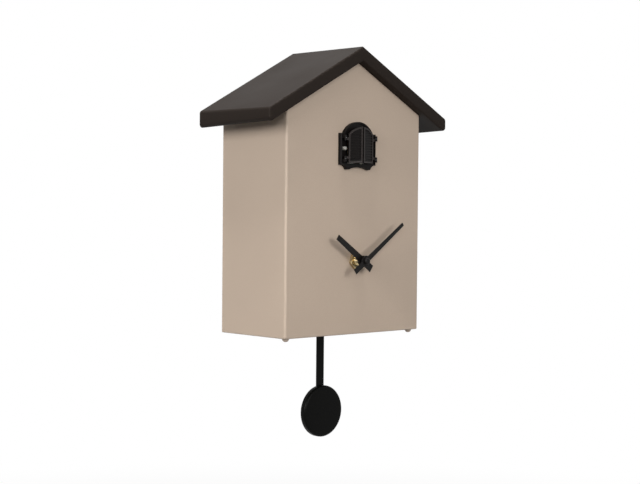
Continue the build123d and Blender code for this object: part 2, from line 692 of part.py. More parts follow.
# Batteries: tray behind the cover, cells, contacts and the lift-off door
def battery_tray():
    wide = TRAY_INNER_WIDTH / 2
    tall = TRAY_INNER_TALL / 2
    outer_wide = wide + TRAY_WALL
    outer_tall = tall + TRAY_WALL
    outer = block(TRAY_OFFSET - outer_wide, TRAY_OFFSET + outer_wide, TRAY_FLOOR - TRAY_WALL, COVER_FRONT,
                  TRAY_HEIGHT - outer_tall, TRAY_HEIGHT + outer_tall)
    inner = block(TRAY_OFFSET - wide, TRAY_OFFSET + wide, TRAY_FLOOR, COVER_FRONT,
                  TRAY_HEIGHT - tall, TRAY_HEIGHT + tall)
    return outer - inner


def cell_columns():
    """Place across and way up of each cell: neighbours lie head to tail."""
    first = TRAY_OFFSET - (CELL_COUNT - 1) * CELL_SPACING / 2
    return [(first + i * CELL_SPACING, 1 if i % 2 == 0 else -1) for i in range(CELL_COUNT)]


def battery_cells():
    y = TRAY_FLOOR + CELL_RADIUS + SLIDE
    barrel = CELL_LENGTH - CELL_NUB_LENGTH
    cells = []
    for x, way in cell_columns():
        tail = TRAY_HEIGHT - way * CELL_LENGTH / 2
        shoulder = tail + way * barrel
        head = shoulder + way * CELL_NUB_LENGTH
        cells.append(rod_z(x, y, CELL_RADIUS, tail, shoulder) + rod_z(x, y, CELL_NUB_RADIUS, shoulder, head))
    return cells


def battery_contacts():
    y = TRAY_FLOOR + CELL_RADIUS + SLIDE
    contacts = []
    for x, _ in cell_columns():
        for end in (-1, 1):
            near = TRAY_HEIGHT + end * CELL_LENGTH / 2
            far = near + end * CONTACT_THICKNESS
            contacts.append(block(x - CONTACT_WIDTH / 2, x + CONTACT_WIDTH / 2, y - CONTACT_WIDTH / 2,
                                  y + CONTACT_WIDTH / 2, near, far))
    return contacts


def battery_door():
    wide = tray_half_width() - FIT
    tall = tray_half_tall() - FIT
    door = block(TRAY_OFFSET - wide, TRAY_OFFSET + wide, COVER_FRONT, COVER_REAR,
                 TRAY_HEIGHT - tall, TRAY_HEIGHT + tall)
    grip_top = TRAY_HEIGHT + tall - GRIP_INSET
    return door - block(TRAY_OFFSET - GRIP_WIDTH / 2, TRAY_OFFSET + GRIP_WIDTH / 2,
                        COVER_REAR - GRIP_DEPTH, COVER_REAR, grip_top - GRIP_HEIGHT, grip_top)


# Window frame and doors
def arched(half_width, bottom, shoulder, top):
    """Upright outline with a flat foot and a round arch above its shoulders."""
    return make_face([
        Line((-half_width, bottom), (half_width, bottom)), Line((half_width, bottom), (half_width, shoulder)),
        ThreePointArc((half_width, shoulder), (0, top), (-half_width, shoulder)),
        Line((-half_width, shoulder), (-half_width, bottom))])


def opening_face(margin):
    """Outline of the bird's way through the frame, widened by a margin."""
    return arched(OPENING_HALF_WIDTH + margin, OPENING_BOTTOM - margin,
                  DOOR_SHOULDER - DOOR_LAP, DOOR_TOP - DOOR_LAP + margin)


def frame_outline():
    ear = EAR_HALF_WIDTH
    bend = math.sin(math.radians(45))
    bend_x = ear - bend * (ear - WINDOW_FOOT_OUTER)
    bend_z = WINDOW_HEIGHT + bend * EAR_RISE
    arch_top = EAR_TOP + ARCH_RISE
    edges = [ThreePointArc((-ARCH_HALF_WIDTH, EAR_TOP), (0, arch_top), (ARCH_HALF_WIDTH, EAR_TOP))]
    for side in (-1, 1):
        edges += [
            Line((side * ARCH_HALF_WIDTH, EAR_TOP), (side * ear, EAR_TOP)),
            Line((side * ear, EAR_TOP), (side * ear, EAR_BOTTOM)),
            ThreePointArc((side * ear, EAR_BOTTOM), (side * bend_x, bend_z),
                          (side * WINDOW_FOOT_OUTER, WINDOW_HEIGHT)),
            Line((side * WINDOW_FOOT_OUTER, WINDOW_HEIGHT), (side * WINDOW_FOOT_INNER, WINDOW_HEIGHT))]
    edges.append(ThreePointArc((-WINDOW_FOOT_INNER, WINDOW_HEIGHT), (0, WINDOW_HEIGHT + SCALLOP_RISE),
                               (WINDOW_FOOT_INNER, WINDOW_HEIGHT)))
    return make_face(edges)


def frame_recess():
    """Floor inside the raised rim of the frame: the arch and the two ears."""
    arch = arched(ARCH_HALF_WIDTH - RIM_WIDTH, EAR_BOTTOM + RIM_WIDTH,
                  EAR_TOP, EAR_TOP + ARCH_RISE - RIM_WIDTH)
    ear = EAR_HALF_WIDTH - RIM_WIDTH
    ears = corners((-ear, EAR_BOTTOM + RIM_WIDTH), (ear, EAR_BOTTOM + RIM_WIDTH),
                   (ear, EAR_TOP - RIM_WIDTH), (-ear, EAR_TOP - RIM_WIDTH))
    return slab_y(arch, FRAME_FLOOR, FRAME_FRONT) + slab_y(ears, FRAME_FLOOR, FRAME_FRONT)


def lug_spans():
    """Heights of the two frame lugs, outside the two door knuckles."""
    low = (HINGE_LOW - KNUCKLE_HEIGHT - SLIDE, HINGE_LOW - SLIDE)
    high = (HINGE_HIGH + SLIDE, HINGE_HIGH + KNUCKLE_HEIGHT + SLIDE)
    return [low, high]


def knuckle_spans():
    return [(HINGE_LOW, HINGE_LOW + KNUCKLE_HEIGHT), (HINGE_HIGH - KNUCKLE_HEIGHT, HINGE_HIGH)]


def window_frame():
    frame = slab_y(frame_outline(), HOUSE_FRONT, FRAME_FRONT)
    upright = frame.edges().filter_by(Axis.Z).group_by(Axis.Y)[0]
    frame = fillet(upright, EAR_EDGE_RADIUS) - frame_recess()
    frame += slab_y(opening_face(SLEEVE_WALL), HOUSE_INNER, FRAME_FLOOR)
    frame -= slab_y(opening_face(0), HOUSE_INNER, FRAME_FRONT)
    for side in (-1, 1):
        x = side * HINGE_HALF_SPACING
        for low, high in lug_spans():
            web = block(x - KNUCKLE_RADIUS, x + KNUCKLE_RADIUS, HINGE_Y, FRAME_FLOOR, low, high)
            lug = web + rod_z(x, HINGE_Y, KNUCKLE_RADIUS, low, high)
            frame += lug - rod_z(x, HINGE_Y, HINGE_PIN_RADIUS, low, high)
    frame -= rod_y(-SENSOR_OFFSET, SENSOR_HEIGHT, SENSOR_RADIUS, FRAME_FLOOR, HOUSE_FRONT)
    for x, z in frame_screw_places():
        frame -= rod_y(x, z, SCREW_RADIUS, FLANGE_REAR - FRAME_SCREW_LENGTH, HOUSE_FRONT)
    return frame


def light_sensor():
    stem = rod_y(-SENSOR_OFFSET, SENSOR_HEIGHT, SENSOR_RADIUS, FLANGE_REAR, FRAME_FLOOR - SENSOR_STANDOUT)
    dome = Pos(-SENSOR_OFFSET, FRAME_FLOOR - SENSOR_STANDOUT, SENSOR_HEIGHT) * Sphere(SENSOR_RADIUS)
    return stem + dome


def door_span():
    """Near and far edge of a door, measured from its hinge axis."""
    return DOOR_HINGE_ROOM, HINGE_HALF_SPACING - DOOR_SEAM / 2


def door_face(inset):
    """Quarter-arched door outline about its hinge axis, drawn in (x, z) for the left door."""
    near, far = door_span()
    middle = HINGE_HALF_SPACING
    radius = ((middle - near) ** 2 + DOOR_ARCH_RISE ** 2) / (2 * DOOR_ARCH_RISE)

    def arch(x):
        return DOOR_TOP - radius + math.sqrt((radius - inset) ** 2 - (middle - x) ** 2)

    x0 = near + inset
    x1 = far - inset
    half = (x0 + x1) / 2
    foot = DOOR_BOTTOM + inset
    return make_face([
        Line((x0, foot), (x1, foot)), Line((x1, foot), (x1, arch(x1))),
        ThreePointArc((x1, arch(x1)), (half, arch(half)), (x0, arch(x0))),
        Line((x0, arch(x0)), (x0, foot))])


def door_panel():
    """Left door about its hinge axis at the origin, shut: border, louvres and knuckles."""
    rear = HINGE_STANDOFF - FIT
    face = rear - DOOR_THICKNESS
    panel = slab_y(door_face(0), rear, face)
    border = slab_y(door_face(0), face, face - DOOR_BORDER_HEIGHT)
    border -= slab_y(door_face(DOOR_BORDER_WIDTH), face, face - DOOR_BORDER_HEIGHT)
    near, far = door_span()
    count = int((DOOR_TOP - DOOR_BOTTOM) / SLAT_PITCH)
    inner = slab_y(door_face(DOOR_BORDER_WIDTH), face, face - DOOR_BORDER_HEIGHT)
    slat = corners((face, 0), (face - DOOR_BORDER_HEIGHT, 0), (face, SLAT_HEIGHT))
    slats = Part()
    for i in range(count):
        start = DOOR_BOTTOM + DOOR_BORDER_WIDTH + i * SLAT_PITCH
        slats += Pos(0, 0, start) * slab_x(slat, near, far)
    door = panel + border + (slats & inner)
    for low, high in knuckle_spans():
        arm = block(0, near + DOOR_BORDER_WIDTH, face - DOOR_BORDER_HEIGHT, rear, low, high)
        door += arm + rod_z(0, 0, KNUCKLE_RADIUS, low, high)
    for low, high in knuckle_spans():
        door -= rod_z(0, 0, HINGE_PIN_RADIUS + RUNNING, low, high)
    return door


def left_door():
    return Pos(-HINGE_HALF_SPACING, HINGE_Y, 0) * Rot(0, 0, -DOOR_AJAR) * door_panel()


def right_door():
    return mirror(left_door(), about=Plane.YZ)


def door_pins():
    lugs = lug_spans()
    spans = [(lugs[0][0], knuckle_spans()[0][1]), (knuckle_spans()[1][0], lugs[1][1])]
    return [rod_z(side * HINGE_HALF_SPACING, HINGE_Y, HINGE_PIN_RADIUS, low, high)
            for side in (-1, 1) for low, high in spans]


# Bird chassis, gearbox and carriage
def gear_plate_box():
    reach = DRIVE_RADIUS + GEAR_PLATE_MARGIN
    return DRIVE_X - reach, DRIVE_X + reach, FLANGE_REAR, MOTOR_Y + MOTOR_RADIUS


def pillar_places():
    x0, x1, y0, y1 = gear_plate_box()
    inset = SCREW_BOSS_RADIUS + FIT
    return [(x, y) for x in (x0 + inset, x1 - inset) for y in (y0 + inset, y1 - inset)]


def rail(side):
    """Guide rail on one side of the carriage, with a lip over its edge: the rack is on the right."""
    tooth_tip = ADDENDUM * RACK_MODULE if side > 0 else 0
    tooth_root = DEDENDUM * RACK_MODULE if side > 0 else 0
    edge = CARRIAGE_HALF_WIDTH + tooth_tip + FIT
    wall = edge + RAIL_WALL
    over = CARRIAGE_HALF_WIDTH - tooth_root - RAIL_OVERLAP
    lip_low = CARRIAGE_TOP + FIT
    lip_high = lip_low + RAIL_LIP
    section = corners(
        (side * edge, CHASSIS_FLOOR_TOP), (side * wall, CHASSIS_FLOOR_TOP), (side * wall, lip_high),
        (side * over, lip_high), (side * over, lip_low), (side * edge, lip_low))
    return slab_y(section, CHASSIS_REAR - CHASSIS_WALL, FLANGE_REAR)


def cuckoo_chassis():
    half = CHASSIS_HALF_WIDTH
    plate_x1 = gear_plate_box()[1]
    side_top = CHASSIS_FLOOR_TOP + CHASSIS_SIDE_HEIGHT
    flange_half = half + CHASSIS_FLANGE_MARGIN
    chassis = block(-flange_half, flange_half, HOUSE_INNER, FLANGE_REAR,
                    CHASSIS_FLOOR_BOTTOM - CHASSIS_FLANGE_MARGIN, DOOR_TOP + CHASSIS_FLANGE_MARGIN)
    chassis += block(-half, plate_x1, FLANGE_REAR, CHASSIS_REAR, CHASSIS_FLOOR_BOTTOM, CHASSIS_FLOOR_TOP)
    for side in (-1, 1):
        chassis += block(side * (half - CHASSIS_WALL), side * half, FLANGE_REAR, CHASSIS_REAR,
                         CHASSIS_FLOOR_TOP, side_top)
        chassis += rail(side)
    chassis += block(-half, half, CHASSIS_REAR - CHASSIS_WALL, CHASSIS_REAR, CHASSIS_FLOOR_TOP, side_top)
    pinion_room = (RACK_PINION_TEETH / 2 + 1) * RACK_MODULE + GEAR_GAP
    chassis -= block(CARRIAGE_HALF_WIDTH - RACK_MODULE - RAIL_OVERLAP - FIT, half - CHASSIS_WALL,
                     DRIVE_Y - pinion_room, DRIVE_Y + pinion_room,
                     CHASSIS_FLOOR_TOP, CARRIAGE_TOP + FIT + RAIL_LIP)
    for x, y in pillar_places():
        chassis += rod_z(x, y, SCREW_BOSS_RADIUS, GEAR_PLATE_TOP, CHASSIS_FLOOR_BOTTOM)
    for x, y in pillar_places():
        chassis -= rod_z(x, y, SCREW_RADIUS, GEAR_PLATE_TOP, GEAR_PLATE_BOTTOM + SCREW_LENGTH)
    chassis -= slab_y(opening_face(0), FLANGE_REAR, HOUSE_INNER)
    chassis -= rod_y(-SENSOR_OFFSET, SENSOR_HEIGHT, SENSOR_RADIUS + FIT, HOUSE_INNER, FLANGE_REAR)
    for x, z in frame_screw_places():
        chassis -= rod_y(x, z, SCREW_RADIUS + SLIDE, HOUSE_INNER, FLANGE_REAR)
    chassis -= rod_z(DRIVE_X, DRIVE_Y, DRIVE_SHAFT_RADIUS + RUNNING, CHASSIS_FLOOR_BOTTOM, CHASSIS_FLOOR_TOP)
    return chassis


def gear_plate():
    x0, x1, y0, y1 = gear_plate_box()
    plate = block(x0, x1, y0, y1, GEAR_PLATE_BOTTOM, GEAR_PLATE_TOP)
    for x, y in pillar_places():
        plate -= rod_z(x, y, SCREW_RADIUS + SLIDE, GEAR_PLATE_BOTTOM, GEAR_PLATE_TOP)
    plate -= rod_z(DRIVE_X, DRIVE_Y, DRIVE_SHAFT_RADIUS + RUNNING, GEAR_PLATE_BOTTOM, GEAR_PLATE_TOP)
    plate -= rod_z(DRIVE_X, MOTOR_Y, MOTOR_BOSS_RADIUS, GEAR_PLATE_BOTTOM, GEAR_PLATE_TOP)
    return plate


def rack_face():
    """Straight rack drawn in (x, y), with a gap opposite the pinion."""
    pitch = math.pi * RACK_MODULE
    lean = math.tan(math.radians(PRESSURE_ANGLE))
    tip = ADDENDUM * RACK_MODULE
    root = -DEDENDUM * RACK_MODULE
    half = (pitch / 2 - BACKLASH * RACK_MODULE) / 2
    first = math.ceil((RACK_FRONT - DRIVE_Y) / pitch - 0.5)
    last = math.floor((RACK_REAR - DRIVE_Y) / pitch - 0.5)
    edge = CARRIAGE_HALF_WIDTH
    points = [(edge + root, RACK_FRONT - half)]
    for tooth in range(first, last + 1):
        middle = DRIVE_Y + (tooth + 0.5) * pitch
        points += [(edge + root, middle - half + root * lean), (edge + tip, middle - half + tip * lean),
                   (edge + tip, middle + half - tip * lean), (edge + root, middle + half - root * lean)]
    points += [(edge + root, RACK_REAR + half), (0, RACK_REAR + half), (0, RACK_FRONT - half)]
    return corners(*points)


def bird_carriage():
    """Plate with the rack on its right edge and a nose that narrows to pass between the opening doors."""
    left = -CARRIAGE_HALF_WIDTH
    right = CARRIAGE_HALF_WIDTH - DEDENDUM * RACK_MODULE
    nose = CARRIAGE_HALF_WIDTH - CARRIAGE_NOSE_TAPER
    shoulder = CARRIAGE_FRONT + CARRIAGE_NOSE_LENGTH
    plate = corners((-nose, CARRIAGE_FRONT), (nose, CARRIAGE_FRONT), (right, shoulder), (right, CARRIAGE_REAR),
                    (left, CARRIAGE_REAR), (left, shoulder))
    carriage = slab_z(plate, CARRIAGE_BOTTOM, CARRIAGE_TOP)
    carriage += slab_z(rack_face(), CARRIAGE_BOTTOM, CARRIAGE_TOP)
    return carriage + bird_post()


def drive_gear():
    """Wheel under the chassis and, on the same shaft, the pinion with a tooth in a gap of the rack."""
    shaft = rod_z(DRIVE_X, DRIVE_Y, DRIVE_SHAFT_RADIUS, GEAR_PLATE_BOTTOM, CARRIAGE_TOP)
    pinion_face = gear_face(RACK_PINION_TEETH, RACK_MODULE, RACK_DIRECTION)
    pinion = slab_z(pinion_face, CHASSIS_FLOOR_TOP + FIT, CARRIAGE_TOP)
    wheel = slab_z(gear_face(DRIVE_TEETH, DRIVE_MODULE), DRIVE_BOTTOM, DRIVE_TOP)
    return shaft + Pos(DRIVE_X, DRIVE_Y, 0) * (pinion + wheel)


def motor_pinion():
    phase = mesh_phase(90, 0, DRIVE_TEETH, MOTOR_PINION_TEETH)
    pinion = slab_z(gear_face(MOTOR_PINION_TEETH, DRIVE_MODULE, phase), DRIVE_BOTTOM, DRIVE_TOP)
    shaft = rod_z(DRIVE_X, MOTOR_Y, MOTOR_SHAFT_RADIUS, GEAR_PLATE_BOTTOM - MOTOR_SHAFT_DEPTH, DRIVE_TOP)
    return shaft + Pos(DRIVE_X, MOTOR_Y, 0) * pinion


def drive_motor():
    can = rod_z(DRIVE_X, MOTOR_Y, MOTOR_RADIUS, GEAR_PLATE_BOTTOM - MOTOR_LENGTH, GEAR_PLATE_BOTTOM)
    boss = rod_z(DRIVE_X, MOTOR_Y, MOTOR_BOSS_RADIUS, GEAR_PLATE_BOTTOM, GEAR_PLATE_TOP)
    bore_end = GEAR_PLATE_BOTTOM - MOTOR_SHAFT_DEPTH
    return can + boss - rod_z(DRIVE_X, MOTOR_Y, MOTOR_SHAFT_RADIUS + RUNNING, bore_end, GEAR_PLATE_TOP)


# Bird
def bird_centre():
    """Middle of the bird's chest at rest: its beak stays behind the carriage front."""
    y = CARRIAGE_FRONT + BEAK_LENGTH + BIRD_HEAD_RADIUS + BIRD_HEAD_LEAD
    return 0, y, CARRIAGE_TOP + BIRD_POST_HEIGHT / 2 + BIRD_CHEST_RADIUS


def bird_head_centre():
    x, y, z = bird_centre()
    return x, y - BIRD_HEAD_LEAD, z + BIRD_HEAD_RISE


def bird_post():
    x, y, _ = bird_centre()
    return rod_z(x, y, BIRD_POST_RADIUS, CARRIAGE_TOP, CARRIAGE_TOP + BIRD_POST_HEIGHT)


def bird_body(grown):
    """Teardrop body, grown outwards by an amount: chest ball, rump ball and the cone between."""
    chest = BIRD_CHEST_RADIUS + grown
    rump = BIRD_RUMP_RADIUS + grown
    apart = BIRD_LENGTH - BIRD_CHEST_RADIUS - BIRD_RUMP_RADIUS
    lean = math.asin((chest - rump) / apart)
    bend = math.radians(45) - lean / 2

    def on_ball(centre, radius, angle):
        return centre + radius * math.sin(angle), radius * math.cos(angle)

    rump_joint = on_ball(apart, rump, lean)
    chest_joint = on_ball(0, chest, lean)
    half = make_face([
        Line((-chest, 0), (apart + rump, 0)),
        ThreePointArc((apart + rump, 0), on_ball(apart, rump, lean + bend), rump_joint),
        Line(rump_joint, chest_joint),
        ThreePointArc(chest_joint, on_ball(0, chest, -bend), (-chest, 0))])
    return Pos(*bird_centre()) * Rot(0, 0, 90) * revolve(half, axis=Axis.X)


def bird_solid():
    tail = Rot(BIRD_TAIL_TILT, 0, 0) * block(
        -BIRD_TAIL_WIDTH / 2, BIRD_TAIL_WIDTH / 2, 0, BIRD_LENGTH - BIRD_CHEST_RADIUS + BIRD_TAIL_LENGTH,
        -BIRD_TAIL_THICKNESS / 2, BIRD_TAIL_THICKNESS / 2)
    head = Pos(*bird_head_centre()) * Sphere(BIRD_HEAD_RADIUS)
    return bird_body(0) + head + Pos(*bird_centre()) * tail


def cuckoo_bird():
    return bird_solid() - bird_post()


def bird_wings():
    """A folded wing on each side, lying on the body."""
    round_end = WING_HEIGHT / 2
    feather = make_face([
        ThreePointArc((0, round_end), (-round_end, 0), (0, -round_end)),
        Line((0, -round_end), (WING_LENGTH - round_end, 0)),
        Line((WING_LENGTH - round_end, 0), (0, round_end))])
    reach = BIRD_CHEST_RADIUS + 2 * WING_THICKNESS
    wings = []
    for side in (-1, 1):
        half_space = slab_x(feather, *sorted((0, side * reach)))
        profile = Pos(*bird_centre()) * Rot(WING_TILT, 0, 0) * half_space
        wings.append((bird_body(WING_THICKNESS) & profile) - bird_solid())
    return wings


def bird_beak():
    hx, hy, hz = bird_head_centre()
    rear = hy - BIRD_HEAD_RADIUS + BEAK_RADIUS
    length = BEAK_LENGTH + BEAK_RADIUS
    cone = Pos(hx, rear - length / 2, hz) * Rot(90, 0, 0) * Cone(BEAK_RADIUS, BEAK_TIP_RADIUS, length)
    return cone - Pos(hx, hy, hz) * Sphere(BIRD_HEAD_RADIUS)


# Time movement
def movement_case_front():
    half = MOVEMENT_SIZE / 2
    case = block(-half, half, HOUSE_INNER, MOVEMENT_INNER_REAR, DIAL_HEIGHT - half, DIAL_HEIGHT + half)
    room = half - MOVEMENT_WALL
    floor = HOUSE_INNER + MOVEMENT_WALL
    case -= block(-room, room, floor, MOVEMENT_INNER_REAR, DIAL_HEIGHT - room, DIAL_HEIGHT + room)
    case -= rod_y(0, DIAL_HEIGHT, BUSH_RADIUS, HOUSE_INNER, floor)
    case -= rod_y(MOTION_X, MOTION_Z, ARBOR_RADIUS + RUNNING, floor - PIVOT_DEPTH, floor)
    case -= rod_y(THIRD_X, THIRD_Z, ARBOR_RADIUS + RUNNING, floor - PIVOT_DEPTH, floor)
    return case


def movement_case_rear():
    half = MOVEMENT_SIZE / 2
    lid = block(-half, half, MOVEMENT_INNER_REAR, MOVEMENT_REAR, DIAL_HEIGHT - half, DIAL_HEIGHT + half)
    inner = MOVEMENT_INNER_REAR
    lid -= rod_y(0, DIAL_HEIGHT, MINUTE_ARBOR_RADIUS + RUNNING, inner, inner + PIVOT_DEPTH)
    lid -= rod_y(THIRD_X, THIRD_Z, ARBOR_RADIUS + RUNNING, inner, inner + PIVOT_DEPTH)
    lid -= rod_y(MOTION_X, MOTION_Z, SETTING_SHAFT_RADIUS + RUNNING, inner, MOVEMENT_REAR)
    return lid


def threaded_bush():
    floor = HOUSE_INNER + MOVEMENT_WALL
    front = HOUSE_FRONT - BUSH_STANDOUT
    rear = floor + BUSH_FLANGE
    bush = rod_y(0, DIAL_HEIGHT, BUSH_RADIUS, front, floor)
    bush += rod_y(0, DIAL_HEIGHT, BUSH_FLANGE_RADIUS, floor, rear)
    return bush - rod_y(0, DIAL_HEIGHT, HOUR_PIPE_RADIUS + RUNNING, front, rear)


def bush_washer():
    ring = rod_y(0, DIAL_HEIGHT, WASHER_RADIUS, HOUSE_FRONT, HOUSE_FRONT - WASHER_THICKNESS)
    return ring - rod_y(0, DIAL_HEIGHT, BUSH_RADIUS, HOUSE_FRONT, HOUSE_FRONT - WASHER_THICKNESS)


def bush_nut():
    rear = HOUSE_FRONT - WASHER_THICKNESS
    hexagon = RegularPolygon(NUT_ACROSS_FLATS / 2, 6, major_radius=False, rotation=NUT_TURN)
    nut = Pos(0, 0, DIAL_HEIGHT) * slab_y(hexagon, rear, rear - NUT_THICKNESS)
    crown = rod_y(0, DIAL_HEIGHT, NUT_ACROSS_FLATS / math.sqrt(3), rear, rear - NUT_THICKNESS)
    rim = crown.edges().filter_by(GeomType.CIRCLE).group_by(Axis.Y)[0]
    crown = chamfer(rim, NUT_CHAMFER)
    return (nut & crown) - rod_y(0, DIAL_HEIGHT, BUSH_RADIUS, rear, rear - NUT_THICKNESS)


def hour_wheel():
    front = HOUSE_FRONT - HOUR_STANDOFF - HAND_THICKNESS
    rear = layer(0) + GEAR_THICKNESS
    phase = mesh_phase(MOTION_ANGLE + 180, 0, MOTION_PINION_TEETH, HOUR_TEETH)
    wheel = gear_y(0, DIAL_HEIGHT, HOUR_TEETH, HOUR_MODULE, phase, layer(0), GEAR_THICKNESS)
    wheel += rod_y(0, DIAL_HEIGHT, HOUR_PIPE_RADIUS, front, rear)
    return wheel - rod_y(0, DIAL_HEIGHT, MINUTE_ARBOR_RADIUS + RUNNING, front, rear)


def motion_wheel():
    phase = mesh_phase(MOTION_ANGLE, 0, CANNON_TEETH, MOTION_TEETH)
    floor = HOUSE_INNER + MOVEMENT_WALL
    x, z = MOTION_X, MOTION_Z
    wheel = gear_y(x, z, MOTION_TEETH, MOTION_MODULE, phase, layer(1), GEAR_THICKNESS)
    wheel += gear_y(x, z, MOTION_PINION_TEETH, HOUR_MODULE, 0, layer(0), GEAR_THICKNESS + LAYER_GAP)
    wheel += rod_y(x, z, ARBOR_RADIUS, floor - PIVOT_DEPTH, layer(1))
    return wheel + rod_y(x, z, SETTING_SHAFT_RADIUS, layer(1), COVER_REAR + SETTING_KNOB_SEAT)


def setting_knob():
    rear = COVER_REAR + FIT + SETTING_KNOB_LENGTH
    knob = rod_y(MOTION_X, MOTION_Z, SETTING_KNOB_RADIUS, COVER_REAR + FIT, rear)
    seat = COVER_REAR + SETTING_KNOB_SEAT
    return knob - rod_y(MOTION_X, MOTION_Z, SETTING_SHAFT_RADIUS, COVER_REAR, seat)


def minute_arbor():
    front = HOUSE_FRONT - MINUTE_STANDOFF - HAND_THICKNESS - CAP_SEAT
    arbor = rod_y(0, DIAL_HEIGHT, MINUTE_ARBOR_RADIUS, front, MOVEMENT_INNER_REAR + PIVOT_DEPTH)
    arbor += gear_y(0, DIAL_HEIGHT, CANNON_TEETH, MOTION_MODULE, 0, layer(1), GEAR_THICKNESS)
    return arbor + gear_y(0, DIAL_HEIGHT, CENTRE_TEETH, TRAIN_MODULE, 0, layer(2), GEAR_THICKNESS)


def third_wheel():
    floor = HOUSE_INNER + MOVEMENT_WALL
    phase = mesh_phase(THIRD_ANGLE, 0, CENTRE_TEETH, THIRD_PINION_TEETH)
    x, z = THIRD_X, THIRD_Z
    wheel = gear_y(x, z, THIRD_PINION_TEETH, TRAIN_MODULE, phase, layer(2), GEAR_THICKNESS + LAYER_GAP)
    wheel += gear_y(x, z, THIRD_TEETH, TRAIN_MODULE, 0, layer(3), GEAR_THICKNESS)
    return wheel + rod_y(x, z, ARBOR_RADIUS, floor - PIVOT_DEPTH, MOVEMENT_INNER_REAR + PIVOT_DEPTH)


def stepper_pinion():
    phase = mesh_phase(STEPPER_ANGLE, 0, THIRD_TEETH, STEPPER_PINION_TEETH)
    x, z = STEPPER_X, STEPPER_Z
    shaft_end = MOVEMENT_INNER_REAR - STEPPER_DEPTH + STEPPER_SHAFT_DEPTH
    pinion = gear_y(x, z, STEPPER_PINION_TEETH, TRAIN_MODULE, phase, layer(3), GEAR_THICKNESS)
    return pinion + rod_y(x, z, STEPPER_SHAFT_RADIUS, layer(3), shaft_end)


def stepper_motor():
    front = MOVEMENT_INNER_REAR - STEPPER_DEPTH
    can = rod_y(STEPPER_X, STEPPER_Z, STEPPER_SIZE / 2, front, MOVEMENT_INNER_REAR)
    room = MOVEMENT_SIZE / 2 - MOVEMENT_WALL - FIT
    can &= block(-room, room, front, MOVEMENT_INNER_REAR, DIAL_HEIGHT - room, DIAL_HEIGHT + room)
    can -= rod_y(THIRD_X, THIRD_Z, ARBOR_RADIUS + GEAR_GAP, front, MOVEMENT_INNER_REAR)
    shaft_end = front + STEPPER_SHAFT_DEPTH
    return can - rod_y(STEPPER_X, STEPPER_Z, STEPPER_SHAFT_RADIUS + RUNNING, front, shaft_end)


def movement_board():
    room = MOVEMENT_SIZE / 2 - MOVEMENT_WALL - FIT
    low = DIAL_HEIGHT - room
    rear = MOVEMENT_INNER_REAR
    return block(room - MOVEMENT_BOARD_WIDTH, room, rear - BOARD_THICKNESS, rear,
                 low, low + MOVEMENT_BOARD_HEIGHT)


def hand(length, tail, tip_width, tail_width, standoff, bore, angle):
    """Flat baton with a round hub, turned clockwise from twelve as seen from the front."""
    tail_half = tail_width / 2
    tip_half = tip_width / 2
    baton = corners((-tail_half, -tail), (tail_half, -tail), (tip_half, length), (-tip_half, length))
    rear = HOUSE_FRONT - standoff
    front = rear - HAND_THICKNESS
    shape = slab_y(baton, rear, front) + rod_y(0, 0, HAND_HUB_RADIUS, rear, front)
    shape -= rod_y(0, 0, bore, rear, front)
    return Pos(0, 0, DIAL_HEIGHT) * Rot(0, angle, 0) * shape


def hour_hand():
    return hand(HOUR_LENGTH, HOUR_TAIL, HOUR_TIP_WIDTH, HOUR_TAIL_WIDTH, HOUR_STANDOFF,
                HOUR_PIPE_RADIUS, HOUR_ANGLE)


def minute_hand():
    return hand(MINUTE_LENGTH, MINUTE_TAIL, MINUTE_TIP_WIDTH, MINUTE_TAIL_WIDTH, MINUTE_STANDOFF,
                MINUTE_ARBOR_RADIUS, MINUTE_ANGLE)


def hand_cap():
    rear = HOUSE_FRONT - MINUTE_STANDOFF - HAND_THICKNESS
    cap = rod_y(0, DIAL_HEIGHT, CAP_RADIUS, rear, rear - CAP_HEIGHT)
    cap = fillet(cap.edges().filter_by(GeomType.CIRCLE).group_by(Axis.Y)[0], CAP_EDGE_RADIUS)
    return cap - rod_y(0, DIAL_HEIGHT, MINUTE_ARBOR_RADIUS, rear, rear - CAP_SEAT)


# Pendulum
def bracket_plates():
    """Front and rear faces of the two bracket plates, as (front, rear) pairs."""
    front_inner = PENDULUM_Y - BRACKET_SPAN / 2
    rear_inner = PENDULUM_Y + BRACKET_SPAN / 2
    return [(front_inner - BRACKET_PLATE, front_inner), (rear_inner, rear_inner + BRACKET_PLATE)]


def pendulum_bracket():
    (front, _), (_, rear) = bracket_plates()
    top = PIVOT_HEIGHT + BRACKET_HEADROOM
    half = BRACKET_WIDTH / 2
    base_half = BRACKET_BASE_LENGTH / 2
    base_top = BRACKET_BASE + BRACKET_PLATE
    bracket = block(-base_half, base_half, front, rear, BRACKET_BASE, base_top)
    bracket += block(-half, half, front, rear, top, top + BRACKET_PLATE)
    for plate_front, plate_rear in bracket_plates():
        bracket += block(-half, half, plate_front, plate_rear, BRACKET_BASE, top)
    bracket -= rod_y(0, PIVOT_HEIGHT, PENDULUM_PIN_RADIUS, front, rear)
    across = HANGER_THICKNESS / 2 + SLOT_CLEARANCE
    reach = HANGER_WIDTH / 2 + PIVOT_HEIGHT * math.tan(math.radians(SWING)) + SLOT_CLEARANCE
    bracket -= block(-reach, reach, PENDULUM_Y - across, PENDULUM_Y + across, BRACKET_BASE, base_top)
    for x, y in floor_boss_places():
        bracket -= rod_z(x, y, SCREW_RADIUS + SLIDE, BRACKET_BASE, base_top)
    return bracket


def pendulum_pin():
    (front, _), (_, rear) = bracket_plates()
    return rod_y(0, PIVOT_HEIGHT, PENDULUM_PIN_RADIUS, front, rear)


def rod_top():
    return PIVOT_HEIGHT - HANGER_DROP + ROD_SEAT


def hook_height():
    return PIVOT_HEIGHT - HANGER_DROP + ROD_SEAT / 2


